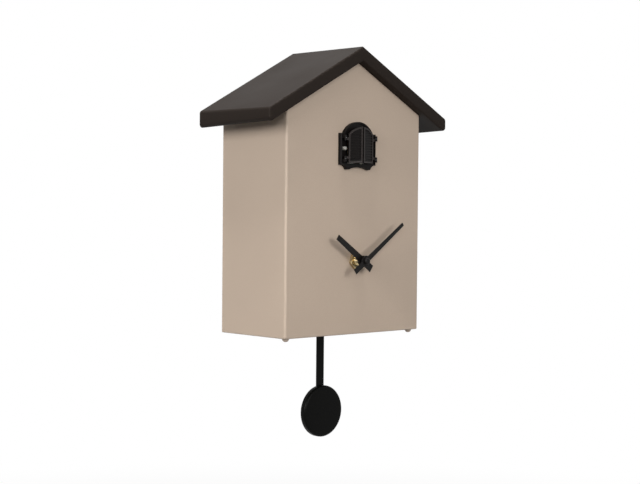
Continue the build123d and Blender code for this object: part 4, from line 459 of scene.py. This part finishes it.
def worked_metal(name, rgba, roughness, lines, direction):
    """Bare metal with tool lines a fraction of a millimetre apart, which streak its highlights."""
    material, tree, place = start_material(name)
    streaks = add_node(tree, "ShaderNodeTexWave", {
        "Vector": place, "Scale": WAVE_LENGTH / (lines * MM), "Distortion": 3.0, "Detail": 2.0},
        bands_direction=direction).outputs["Fac"]
    stain = add_node(tree, "ShaderNodeTexNoise", {
        "Vector": place, "Scale": 1 / (4 * MM), "Detail": 3.0}).outputs["Fac"]
    tone = add_node(tree, "ShaderNodeMix", {0: stain, 6: shade(rgba, 0.82), 7: shade(rgba, 1.1)},
                    data_type="RGBA").outputs[2]
    gloss = add_node(tree, "ShaderNodeMapRange", {
        "Value": streaks, "To Min": roughness - 0.06, "To Max": roughness + 0.08}).outputs[0]
    bump = add_node(tree, "ShaderNodeBump", {"Height": streaks, "Strength": 0.15, "Distance": 0.02 * MM})
    shader = add_node(tree, "ShaderNodeBsdfPrincipled", {
        "Base Color": tone, "Metallic": 1.0, "Roughness": gloss, "Normal": bump.outputs[0]})
    add_node(tree, "ShaderNodeOutputMaterial", {"Surface": shader.outputs[0]})
    return material


def banded(name, first, second, spacing, direction, roughness, metallic=0.0):
    """Finish in two tones that change in close bands: wound wire, board tracks or pressed rings."""
    material, tree, place = start_material(name)
    bands = add_node(tree, "ShaderNodeTexWave", {
        "Vector": place, "Scale": WAVE_LENGTH / (spacing * MM), "Distortion": 0.6, "Detail": 1.0},
        bands_direction=direction).outputs["Fac"]
    tone = add_node(tree, "ShaderNodeMix", {0: bands, 6: first, 7: second}, data_type="RGBA").outputs[2]
    bump = add_node(tree, "ShaderNodeBump", {"Height": bands, "Strength": 0.3, "Distance": 0.1 * MM})
    shader = add_node(tree, "ShaderNodeBsdfPrincipled", {
        "Base Color": tone, "Metallic": metallic, "Roughness": roughness, "Normal": bump.outputs[0]})
    add_node(tree, "ShaderNodeOutputMaterial", {"Surface": shader.outputs[0]})
    return material


def milky_epoxy(name):
    """Cast epoxy of a sensor's lens: smooth, milky and lit from within."""
    material, tree, place = start_material(name)
    cloud = add_node(tree, "ShaderNodeTexNoise", {"Vector": place, "Scale": 1 / (0.8 * MM)}).outputs["Fac"]
    tone = add_node(tree, "ShaderNodeMix", {0: cloud, 6: linear("#676560"), 7: linear("#83817B")},
                    data_type="RGBA").outputs[2]
    shader = add_node(tree, "ShaderNodeBsdfPrincipled", {
        "Base Color": tone, "Roughness": 0.18, "IOR": 1.54, "Subsurface Weight": 0.2,
        "Subsurface Radius": (1.0, 0.9, 0.7), "Subsurface Scale": 1.0 * MM})
    add_node(tree, "ShaderNodeOutputMaterial", {"Surface": shader.outputs[0]})
    return material


def painted_feathers(name, back, breast):
    """Matt paint of the bird: brown above, pale and finely barred below, with brush mottling."""
    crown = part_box("cuckoo_bird")[1].z
    low, high = [crown - depth for depth in BREAST_DEPTHS]
    material, tree, place = start_material(name)
    height = add_node(tree, "ShaderNodeSeparateXYZ", {0: place}).outputs["Z"]
    brush = add_node(tree, "ShaderNodeTexNoise", {
        "Vector": place, "Scale": 1 / (1.6 * MM), "Detail": 4.0}).outputs["Fac"]
    wander = add_node(tree, "ShaderNodeMath", {0: brush, 1: 3.0 * MM}, operation="MULTIPLY").outputs[0]
    level = add_node(tree, "ShaderNodeMath", {0: height, 1: wander}, operation="ADD").outputs[0]
    upper = add_node(tree, "ShaderNodeMapRange", {
        "Value": level, "From Min": low, "From Max": high}, interpolation_type="SMOOTHSTEP").outputs[0]
    bars = add_node(tree, "ShaderNodeTexWave", {
        "Vector": place, "Scale": WAVE_LENGTH / (1.3 * MM), "Distortion": 2.5},
        bands_direction="Z").outputs["Fac"]
    under = add_node(tree, "ShaderNodeMix", {0: bars, 6: breast, 7: shade(back, 1.4)},
                     data_type="RGBA").outputs[2]
    top = add_node(tree, "ShaderNodeMix", {0: brush, 6: shade(back, 0.75), 7: shade(back, 1.25)},
                   data_type="RGBA").outputs[2]
    tone = add_node(tree, "ShaderNodeMix", {0: upper, 6: under, 7: top}, data_type="RGBA").outputs[2]
    bump = add_node(tree, "ShaderNodeBump", {"Height": brush, "Strength": 0.3, "Distance": 0.15 * MM})
    shader = add_node(tree, "ShaderNodeBsdfPrincipled", {
        "Base Color": tone, "Roughness": 0.62, "Specular IOR Level": 0.3, "Normal": bump.outputs[0]})
    add_node(tree, "ShaderNodeOutputMaterial", {"Surface": shader.outputs[0]})
    return material


def printed_jacket(name):
    """Shrunk foil jacket of a dry cell: dark body with a copper-coloured band at one end."""
    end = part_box("battery_cells")[1].z
    split, top = [end - depth for depth in JACKET_DEPTHS]
    material, tree, place = start_material(name)
    height = add_node(tree, "ShaderNodeSeparateXYZ", {0: place}).outputs["Z"]
    band = add_node(tree, "ShaderNodeMapRange", {
        "Value": height, "From Min": split, "From Max": top}, clamp=True).outputs[0]
    tone = add_node(tree, "ShaderNodeMix", {0: band, 6: linear("#26282B"), 7: linear("#B4733C")},
                    data_type="RGBA").outputs[2]
    haze = add_node(tree, "ShaderNodeTexNoise", {"Vector": place, "Scale": 1 / (6 * MM)}).outputs["Fac"]
    gloss = add_node(tree, "ShaderNodeMapRange", {"Value": haze, "To Min": 0.22, "To Max": 0.36}).outputs[0]
    shader = add_node(tree, "ShaderNodeBsdfPrincipled", {
        "Base Color": tone, "Metallic": 0.6, "Roughness": gloss})
    add_node(tree, "ShaderNodeOutputMaterial", {"Surface": shader.outputs[0]})
    return material


def looked_at(tree):
    """1 for rays from the eye, also by way of a reflection or through glass, and 0 for bounced light."""
    path = add_node(tree, "ShaderNodeLightPath").outputs
    seen = add_node(tree, "ShaderNodeMath", {
        0: path["Is Camera Ray"], 1: path["Is Glossy Ray"]}, operation="MAXIMUM").outputs[0]
    return add_node(tree, "ShaderNodeMath", {
        0: seen, 1: path["Is Transmission Ray"]}, operation="MAXIMUM").outputs[0]


def studio_floor(near, far):
    """White paper floor: it takes the object's shadow close by and fades to plain white further off."""
    material, tree, place = start_material("white_paper")
    away = add_node(tree, "ShaderNodeVectorMath", {0: place}, operation="LENGTH").outputs["Value"]
    plain = add_node(tree, "ShaderNodeMapRange", {
        "Value": away, "From Min": near, "From Max": far, "To Min": 0.72, "To Max": 1.0},
        interpolation_type="SMOOTHSTEP").outputs[0]
    seen = looked_at(tree)
    share = add_node(tree, "ShaderNodeMath", {0: seen, 1: plain}, operation="MULTIPLY").outputs[0]
    paleness = add_node(tree, "ShaderNodeMapRange", {
        "Value": seen, "To Min": FLOOR_TONES[0], "To Max": FLOOR_TONES[1]}).outputs[0]
    matt = add_node(tree, "ShaderNodeBsdfDiffuse", {"Color": paleness})
    white = add_node(tree, "ShaderNodeEmission", {"Color": (1, 1, 1, 1), "Strength": 1.0})
    mixed = add_node(tree, "ShaderNodeMixShader", {0: share, 1: matt.outputs[0], 2: white.outputs[0]})
    add_node(tree, "ShaderNodeOutputMaterial", {"Surface": mixed.outputs[0]})
    return material


def finish(name):
    """The clock's finish of that name, made on first use from the colours in the panel."""
    made = bpy.data.materials.get(name)
    return made if made else FINISHES[name](name, bpy.context.scene.clock_colours)


FINISHES = {
    # Satin ABS in taupe: low even sheen, so the walls shade softly from edge to edge
    "satin_abs_taupe": lambda name, c: moulded_plastic(
        name, c.case, roughness=0.48, specular=0.2, grain=0.7, relief=0.04),
    # Satin ABS in charcoal: dark face on, pale where the slope is seen at a low angle
    "satin_abs_charcoal": lambda name, c: moulded_plastic(
        name, c.roof, roughness=0.55, specular=0.06, grain=0.7, relief=0.05),
    # Semi-matt black ABS of the window and doors: fine grain that catches light on each edge
    "fine_abs_black": lambda name, c: moulded_plastic(
        name, c.trim, roughness=0.42, specular=0.06, grain=0.4, relief=0.03),
    # The same ABS on the doors' raised borders, made paler as a painted highlight where their edges catch the
    # light
    "rubbed_abs_black": lambda name, c: moulded_plastic(
        name, shade(c.trim, 3.4), roughness=0.4, specular=0.12, grain=0.4, relief=0.03),
    # Coarser textured ABS of the back, as it comes from a sparked mould
    "textured_abs_black": lambda name, c: moulded_plastic(
        name, c.cover, roughness=0.58, specular=0.3, grain=1.1, relief=0.1),
    # Black acetal of knobs, sliders and the movement's case: smoother and a little waxy
    "acetal_black": lambda name, c: moulded_plastic(
        name, linear("#1A1A1B"), roughness=0.38, specular=0.35, grain=0.5, relief=0.02),
    # Natural acetal of gears, rails and carriage: off-white and waxy
    "acetal_natural": lambda name, c: moulded_plastic(
        name, linear("#DEDBD0"), roughness=0.4, specular=0.4, grain=0.6, relief=0.02),
    # Soft bumpers in the case's tone
    "silicone_taupe": lambda name, c: moulded_plastic(
        name, shade(c.case, 1.05), roughness=0.42, specular=0.35, grain=0.9, relief=0.02),
    # Stove lacquer on pressed aluminium hands
    "lacquered_aluminium": lambda name, c: lacquer(name, c.hands, roughness=0.36, specular=0.12),
    # Sprayed lacquer on the pendulum
    "lacquered_pendulum": lambda name, c: lacquer(name, c.pendulum, roughness=0.34, specular=0.05),
    # Dull horn-coloured paint of the beak
    "painted_beak": lambda name, c: lacquer(name, linear("#4A3B2A"), roughness=0.5, specular=0.3),
    # Glossy black bead of an eye
    "glass_bead": lambda name, c: lacquer(name, linear("#0B0A0A"), roughness=0.12, specular=0.5),
    # Dark paint of the folded wings
    "painted_wing": lambda name, c: lacquer(name, shade(c.bird, 0.45), roughness=0.6, specular=0.3),
    # Turned brass: fine lines round the axis
    "turned_brass": lambda name, c: worked_metal(name, c.brass, roughness=0.26, lines=0.3, direction="Y"),
    # Zinc-plated steel: cool grey with faint rolling lines
    "zinc_steel": lambda name, c: worked_metal(
        name, linear("#B9BBBF"), roughness=0.34, lines=0.4, direction="X"),
    # Drawn steel can of a motor
    "drawn_steel": lambda name, c: worked_metal(
        name, linear("#A3A5A8"), roughness=0.3, lines=0.5, direction="Z"),
    # Sintered ferrite: dull dark grey with a granular face
    "sintered_ferrite": lambda name, c: moulded_plastic(
        name, linear("#3A3B3D"), roughness=0.6, specular=0.5, grain=0.8, relief=0.08),
    # Enamelled copper wire, wound in close turns
    "enamelled_copper": lambda name, c: banded(
        name, linear("#7A3A1C"), linear("#C4763F"), spacing=0.4, direction="Y", roughness=0.3, metallic=1.0),
    # Solder mask over copper tracks: deep green with lighter lines
    "solder_mask": lambda name, c: banded(
        name, linear("#12472A"), linear("#1F6B40"), spacing=2.5, direction="X", roughness=0.32),
    # Pressed paper cone: soft black with shallow rings
    "pressed_paper": lambda name, c: banded(
        name, linear("#191818"), linear("#2A2826"), spacing=1.6, direction="X", roughness=0.8),
    # Vinyl sleeve of the leads
    "vinyl_sleeve": lambda name, c: lacquer(name, linear("#3A1B1B"), roughness=0.4, specular=0.4),
    # Sensor's lens, the bird's paint and the cells' jackets, described where they are made
    "milky_epoxy": lambda name, c: milky_epoxy(name),
    "painted_feathers": lambda name, c: painted_feathers(name, c.bird, c.breast),
    "printed_jacket": lambda name, c: printed_jacket(name),
}


# One operator for each piece or group of like pieces
class ClockCase(bpy.types.Operator):
    """Walls and floor of the house, with broken edges"""
    bl_idname = "clock.case"
    bl_label = "Case"

    def execute(self, context):
        edge = context.scene.clock_sizes.moulded_edge
        piece("case_walls", node_copy("house_body"), finish("satin_abs_taupe"), "house_body", edge=edge)
        return {"FINISHED"}


class ClockRoof(bpy.types.Operator):
    """Gable roof with rounded edges and hollow eaves"""
    bl_idname = "clock.roof"
    bl_label = "Roof"

    def execute(self, context):
        edge = context.scene.clock_sizes.moulded_edge
        piece("gable_roof", node_copy("roof_shell"), finish("satin_abs_charcoal"), "roof_shell", edge=edge)
        return {"FINISHED"}


class ClockWindow(bpy.types.Operator):
    """Frame of the bird's window"""
    bl_idname = "clock.window"
    bl_label = "Window frame"

    def execute(self, context):
        edge = context.scene.clock_sizes.fine_edge
        piece("window_bezel", node_copy("window_frame"), finish("fine_abs_black"), "window_frame", edge=edge)
        return {"FINISHED"}


class ClockDoors(bpy.types.Operator):
    """Louvred doors standing ajar, and their hinge pins"""
    bl_idname = "clock.doors"
    bl_label = "Doors"

    def execute(self, context):
        edge = context.scene.clock_sizes.fine_edge
        for node in ("left_door", "right_door"):
            made = piece("louvred_" + node, node_copy(node), finish("fine_abs_black"), node, edge=edge)
            # Second finish: a paler tone painted on the raised border as a highlight where its edges catch
            # the light
            made.data.materials.append(finish("rubbed_abs_black"))
            mark_front(made.data)
        dress(finish("zinc_steel"), "door_pins")
        return {"FINISHED"}


def mark_front(mesh):
    """Give the foremost flat faces of a door, its raised border, the second finish: a paler tone painted on
    as a highlight.
    """
    facing = [face for face in mesh.polygons if face.normal.y < FORWARD]
    front = max(facing, key=lambda face: face.area).normal
    border = [face for face in facing if face.normal.dot(front) > SAME_WAY]
    foremost = max(face.center.dot(front) for face in border)
    for face in border:
        if foremost - face.center.dot(front) < FRONT_DEPTH:
            face.material_index = 1


class ClockSensor(bpy.types.Operator):
    """Domed lens of the light sensor beside the left door"""
    bl_idname = "clock.sensor"
    bl_label = "Light sensor"

    def execute(self, context):
        low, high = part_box("light_sensor")
        radius = (high.x - low.x) / 2
        shape = bmesh.new()
        dome = arc((0.0, low.y + radius), radius, 0, -90, DOME_STEPS)
        middle = (low + high) / 2
        turned(shape, [(0.0, high.y), (radius, high.y), *dome], (middle.x, 0.0, middle.z))
        piece("sensor_lens", shape, finish("milky_epoxy"), "light_sensor")
        return {"FINISHED"}


class ClockHands(bpy.types.Operator):
    """Pressed hands and the cap over them"""
    bl_idname = "clock.hands"
    bl_label = "Hands"

    def execute(self, context):
        edge = context.scene.clock_sizes.fine_edge
        for node in ("hour_hand", "minute_hand"):
            piece("pressed_" + node, node_copy(node), finish("lacquered_aluminium"), node, edge=edge)
        piece("domed_cap", node_copy("hand_cap"), finish("lacquered_aluminium"), "hand_cap", edge=edge)
        return {"FINISHED"}


class ClockBush(bpy.types.Operator):
    """Threaded brass bush that holds the movement, with its nut and washer"""
    bl_idname = "clock.bush"
    bl_label = "Bush and nut"

    def execute(self, context):
        sizes = context.scene.clock_sizes
        low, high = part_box("threaded_bush")
        x, z = (low.x + high.x) / 2, (low.z + high.z) / 2
        core = sizes.bush_radius - sizes.thread_depth
        shoulder = high.y - sizes.bush_flange
        profile = [
            (sizes.bush_bore, high.y), ((high.x - low.x) / 2, high.y), ((high.x - low.x) / 2, shoulder),
            (core, shoulder), (core, low.y + sizes.thread_depth), (core - sizes.thread_depth, low.y),
            (sizes.bush_bore, low.y), (sizes.bush_bore, high.y)]
        shape = bmesh.new()
        turned(shape, profile, (x, 0.0, z))
        bmesh.ops.remove_doubles(shape, verts=shape.verts, dist=MERGE_DISTANCE)
        height = shoulder - low.y - 3 * sizes.thread_depth
        turns = height / sizes.thread_pitch
        grown(thread_tree(), bmesh.new(), shape, Turns=turns, Radius=core, Height=height,
              Ridge=sizes.thread_depth, Sides=RIDGE_SIDES, Steps=int(turns * ROUND_STEPS / 2), Turn=UPRIGHT,
              Centre=(x, shoulder - sizes.thread_depth, z), Finish=finish("turned_brass"))
        piece("screwed_bush", shape, finish("turned_brass"), "threaded_bush")
        piece("hexagon_nut", node_copy("bush_nut"), finish("turned_brass"), "bush_nut", edge=sizes.fine_edge)
        dress(finish("zinc_steel"), "bush_washer")
        return {"FINISHED"}


class ClockPendulum(bpy.types.Operator):
    """Rod and round bob of the pendulum"""
    bl_idname = "clock.pendulum"
    bl_label = "Pendulum"

    def execute(self, context):
        sizes = context.scene.clock_sizes
        coat = finish("lacquered_pendulum")
        piece("flat_rod", node_copy("pendulum_rod"), coat, "pendulum_rod", edge=sizes.fine_edge)
        low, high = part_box("pendulum_bob")
        radius = (high.x - low.x) / 2
        back = high.y - sizes.bob_sink
        rear = arc((radius - sizes.bob_rear, back - sizes.bob_rear), sizes.bob_rear, 90, 0)
        flat = radius - sizes.bob_front
        front = arc((flat, low.y + sizes.bob_dome + sizes.bob_front), sizes.bob_front, 0, -90)
        shares = [1 - BOB_STEP * i for i in range(1, int(1 / BOB_STEP) + 1)]
        dome = [(flat * share, low.y + sizes.bob_dome * share ** 2) for share in shares]
        shape = bmesh.new()
        turned(shape, [(0.0, back), *rear, *front, *dome, (0.0, low.y)],
               ((low.x + high.x) / 2, 0.0, (low.z + high.z) / 2), steps=2 * ROUND_STEPS)
        piece("round_bob", shape, coat, "pendulum_bob")
        return {"FINISHED"}


class ClockFeet(bpy.types.Operator):
    """Domed bumpers under the front corners of the floor"""
    bl_idname = "clock.feet"
    bl_label = "Feet"

    def execute(self, context):
        low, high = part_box("bumper_feet")
        radius = high.z - low.z
        angles = [math.pi / 2 * i / FOOT_STEPS for i in range(FOOT_STEPS + 1)]
        outline = [(radius * math.cos(a) ** FOOT_FULLNESS, -radius * math.sin(a)) for a in angles]
        shape = bmesh.new()
        turned(shape, [(0.0, 0.0), *outline], (0.0, 0.0, 0.0), axis="Z", steps=ROUND_STEPS // 2)
        middle = (low + high) / 2
        feet = grown(grid_tree(), shape, Columns=2, Rows=1, Across=high.x - low.x - 2 * radius, Along=0.0,
                     Turn=(0.0, 0.0, 0.0), Centre=(middle.x, middle.y, high.z),
                     Finish=finish("silicone_taupe"))
        piece("domed_feet", feet, finish("silicone_taupe"), "bumper_feet")
        return {"FINISHED"}


class ClockBack(bpy.types.Operator):
    """Rear cover with its keyhole and grille, and the battery door"""
    bl_idname = "clock.back"
    bl_label = "Back"

    def execute(self, context):
        edge = context.scene.clock_sizes.fine_edge
        skin = finish("textured_abs_black")
        piece("pierced_cover", node_copy("rear_cover"), skin, "rear_cover", edge=edge)
        piece("ribbed_battery_door", node_copy("battery_door"), skin, "battery_door", edge=edge)
        return {"FINISHED"}


class ClockControls(bpy.types.Operator):
    """Ribbed knobs, slider and button at the back"""
    bl_idname = "clock.controls"
    bl_label = "Controls"

    def execute(self, context):
        sizes = context.scene.clock_sizes
        skin = finish("acetal_black")
        for node, stem in (("setting_knob", 0.0), ("volume_knob", sizes.stem_radius)):
            piece("ribbed_" + node, ribbed_knob(node, stem, sizes, skin), skin, node)
        for node in ("mode_slider", "test_button"):
            piece("eased_" + node, node_copy(node), skin, node, edge=sizes.fine_edge)
        return {"FINISHED"}


def ribbed_knob(node, stem, sizes, skin):
    """Dished knob with ribs round its rim, on a stem if it has one."""
    low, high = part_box(node)
    x, z = (low.x + high.x) / 2, (low.z + high.z) / 2
    rib = sizes.rib_radius
    core = (high.x - low.x) / 2 - rib
    foot = high.y - sizes.knob_length
    rim = 2 * rib
    dish = core - 2 * rim
    start = [(0.0, low.y), (stem, low.y), (stem, foot)] if stem else [(0.0, foot)]
    shape = bmesh.new()
    turned(shape, [*start, (core, foot), *arc((core - rim, high.y - rim), rim, 0, 90),
                   (dish, high.y), (dish - rib, high.y - rib), (0.0, high.y - rib)], (x, 0.0, z))
    bar = bmesh.new()
    half = (sizes.knob_length - rim) / 2
    bead = [(0.0, -half), (rib, rib - half), (rib, half - rib), (0.0, half)]
    turned(bar, bead, (0.0, 0.0, 0.0), axis="Z", steps=RIB_SIDES)
    return grown(ring_tree(), bar, shape, Count=sizes.knob_ribs, Radius=core, Turn=UPRIGHT,
                 Centre=(x, foot + half, z), Finish=skin)


class ClockScrews(bpy.types.Operator):
    """Countersunk screws of the rear cover, with a cross in each head"""
    bl_idname = "clock.screws"
    bl_label = "Cover screws"

    def execute(self, context):
        sizes = context.scene.clock_sizes
        low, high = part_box("cover_screws")
        head = sizes.head_radius
        angles = [math.radians(360 / CROSS_STEPS * i) for i in range(CROSS_STEPS)]
        cross = [cross_reach(a, sizes.recess_length) for a in angles]
        shank = sizes.shank_radius
        tip = low.y - high.y
        rings = [(shank / 2, tip), (shank, tip + shank), (shank, -sizes.head_height), (head, 0.0)]
        profile = [([r] * CROSS_STEPS, y) for r, y in rings] + [(cross, 0.0), (cross, -sizes.recess_depth)]
        shape = bmesh.new()
        made = [[shape.verts.new((r * math.cos(a), y, r * math.sin(a))) for r, a in zip(reach, angles)]
                for reach, y in profile]
        join_rings(shape, made)
        shape.faces.new(made[0])
        shape.faces.new(made[-1])
        bmesh.ops.recalc_face_normals(shape, faces=shape.faces)
        middle = (low + high) / 2
        screws = grown(grid_tree(), shape, Columns=2, Rows=2, Across=high.x - low.x - 2 * head,
                       Along=high.z - low.z - 2 * head, Turn=UPRIGHT,
                       Centre=(middle.x, high.y, middle.z), Finish=finish("zinc_steel"))
        piece("crosshead_screws", screws, finish("zinc_steel"), "cover_screws")
        return {"FINISHED"}


def cross_reach(angle, reach):
    """Distance from the middle of a cross to its edge in one direction."""
    turn = abs((angle + math.pi / 4) % (math.pi / 2) - math.pi / 4)
    wide = math.radians(360 / CROSS_STEPS)
    if turn <= wide + ANGLE_SLACK:
        return reach / math.cos(turn)
    return reach * math.tan(wide) / math.sin(turn)


class ClockBird(bpy.types.Operator):
    """Painted bird with its wings, beak and bead eyes"""
    bl_idname = "clock.bird"
    bl_label = "Bird"

    def execute(self, context):
        sizes = context.scene.clock_sizes
        edge = sizes.fine_edge
        body = softened("cuckoo_bird", sizes.bird_softness)
        piece("painted_bird", body, finish("painted_feathers"), "cuckoo_bird")
        piece("folded_wings", node_copy("bird_wings"), finish("painted_wing"), "bird_wings", edge=edge)
        piece("painted_beak", node_copy("bird_beak"), finish("painted_beak"), "bird_beak", edge=edge)
        low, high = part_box("cuckoo_bird")
        shape = bmesh.new()
        for side in (-1, 1):
            seat = Vector((side * EYE_SEAT[0], low.y + EYE_SEAT[1], high.z - EYE_SEAT[2]))
            bead = arc((0.0, 0.0), sizes.eye_radius, -90, 90, DOME_STEPS)
            turned(shape, bead, seat, axis="Z", steps=ROUND_STEPS // 3)
        piece("bead_eyes", shape, finish("glass_bead"), "cuckoo_bird", added=True)
        return {"FINISHED"}


# Finishes of what keeps its own shape inside the case
INSIDE = {
    "acetal_natural": ("cuckoo_chassis", "gear_plate", "drive_gear", "bird_carriage", "pendulum_bracket",
                       "pendulum_hanger", "motion_wheel", "third_wheel", "stepper_pinion"),
    "acetal_black": ("movement_case_front", "movement_case_rear", "hour_wheel", "minute_arbor",
                     "board_components"),
    "turned_brass": ("motor_pinion",),
    "drawn_steel": ("drive_motor", "stepper_motor"),
    "sintered_ferrite": ("pendulum_magnet", "speaker_magnet"),
    "enamelled_copper": ("drive_coil",),
    "solder_mask": ("main_board", "movement_board"),
    "pressed_paper": ("speaker_cone",),
    "zinc_steel": ("pan_head_screws", "pendulum_pin", "hook_pin", "battery_contacts", "speaker_basket"),
    "vinyl_sleeve": ("lead_wires",),
    "textured_abs_black": ("battery_tray",),
    "printed_jacket": ("battery_cells",),
}


class ClockInside(bpy.types.Operator):
    """Finishes of the works inside the case"""
    bl_idname = "clock.inside"
    bl_label = "Works inside"

    def execute(self, context):
        for name, nodes in INSIDE.items():
            dress(finish(name), *nodes)
        return {"FINISHED"}


class ClockStudio(bpy.types.Operator):
    """Floor, lights, white surround and the camera at the photo's angle"""
    bl_idname = "clock.studio"
    bl_label = "Studio"

    def execute(self, context):
        stage = context.scene.clock_stage
        add_floor(stage)
        for name, lamp in LAMPS.items():
            add_light(name + "_light", getattr(stage, name + "_power"), *lamp)
        add_surround(context.scene, stage.ambient)
        add_camera(context.scene, stage.lens)
        context.scene.view_settings.view_transform = "Standard"
        return {"FINISHED"}


def add_floor(stage):
    """Wide white floor well below the clock, kept out of the object."""
    shape = bmesh.new()
    corners = [shape.verts.new((x * FLOOR_HALF, y * FLOOR_HALF, -stage.floor_drop))
               for x, y in ((-1, -1), (1, -1), (1, 1), (-1, 1))]
    shape.faces.new(corners)
    floor = bpy.data.objects.new("studio_floor", mesh_of(shape, "studio_floor"))
    floor.data.materials.append(studio_floor(*SHADOW_REACH))
    bpy.context.scene.collection.objects.link(floor)


def add_light(name, power, place, size, spread):
    """Square lamp aimed at the clock."""
    lamp = bpy.data.lights.new(name, "AREA")
    lamp.size = size
    lamp.spread = math.radians(spread)
    lamp.energy = power
    holder = bpy.data.objects.new(name, lamp)
    holder.location = place
    holder.rotation_euler = (LIGHT_TARGET - Vector(place)).to_track_quat("-Z", "Y").to_euler()
    bpy.context.scene.collection.objects.link(holder)


def add_surround(scene, ambient):
    """White surround that the eye and reflections see at full white and that lights the object dimly."""
    world = bpy.data.worlds.new("white_surround")
    world.use_nodes = True
    tree = world.node_tree
    tree.nodes.clear()
    seen = looked_at(tree)
    strength = add_node(tree, "ShaderNodeMapRange", {
        "Value": seen, "To Min": ambient, "To Max": 1.0}).outputs[0]
    white = add_node(tree, "ShaderNodeBackground", {"Color": (1, 1, 1, 1), "Strength": strength})
    add_node(tree, "ShaderNodeOutputWorld", {"Surface": white.outputs[0]})
    scene.world = world


def add_camera(scene, lens):
    """Camera where the photo was taken from, with its yaw from +Y towards +X, pitch and roll."""
    data = bpy.data.cameras.new("photo_camera")
    data.lens = lens
    data.sensor_width = CAMERA_WIDTH
    camera = bpy.data.objects.new("photo_camera", data)
    level = math.cos(CAMERA_PITCH)
    ahead = Vector((math.sin(CAMERA_YAW) * level, math.cos(CAMERA_YAW) * level, math.sin(CAMERA_PITCH)))
    right = Vector((math.cos(CAMERA_YAW), -math.sin(CAMERA_YAW), 0.0))
    up = right.cross(ahead)
    right, up = (math.cos(CAMERA_ROLL) * right + math.sin(CAMERA_ROLL) * up,
                 math.cos(CAMERA_ROLL) * up - math.sin(CAMERA_ROLL) * right)
    turn = Matrix((right, up, -ahead)).transposed().to_4x4()
    camera.matrix_world = Matrix.Translation(CAMERA_PLACE) @ turn
    scene.collection.objects.link(camera)
    scene.camera = camera


PIECES = (ClockCase, ClockRoof, ClockWindow, ClockDoors, ClockSensor, ClockHands, ClockBush, ClockPendulum,
          ClockFeet, ClockBack, ClockControls, ClockScrews, ClockBird, ClockInside, ClockStudio)


class ClockPanel(bpy.types.Panel):
    """Lists the clock's pieces and what can be changed on them"""
    bl_idname = "VIEW3D_PT_clock"
    bl_label = "Cuckoo clock"
    bl_space_type = "VIEW_3D"
    bl_region_type = "UI"
    bl_category = "Clock"

    def draw(self, context):
        for maker in PIECES:
            self.layout.operator(maker.bl_idname)
        for group in (context.scene.clock_colours, context.scene.clock_sizes, context.scene.clock_stage):
            box = self.layout.box()
            for name in group.__annotations__:
                box.prop(group, name)


CLASSES = (ClockColours, ClockSizes, ClockStage, *PIECES, ClockPanel)


def register():
    """Make the classes and their settings known to Blender."""
    for kind in CLASSES:
        bpy.utils.register_class(kind)
    bpy.types.Scene.clock_colours = PointerProperty(type=ClockColours)
    bpy.types.Scene.clock_sizes = PointerProperty(type=ClockSizes)
    bpy.types.Scene.clock_stage = PointerProperty(type=ClockStage)


def unregister():
    """Take the settings and classes away again."""
    del bpy.types.Scene.clock_stage
    del bpy.types.Scene.clock_sizes
    del bpy.types.Scene.clock_colours
    for kind in reversed(CLASSES):
        bpy.utils.unregister_class(kind)


def main():
    """Run every operator in order."""
    register()
    for maker in PIECES:
        group, name = maker.bl_idname.split(".")
        getattr(getattr(bpy.ops, group), name)()


if __name__ == "__main__":
    main()
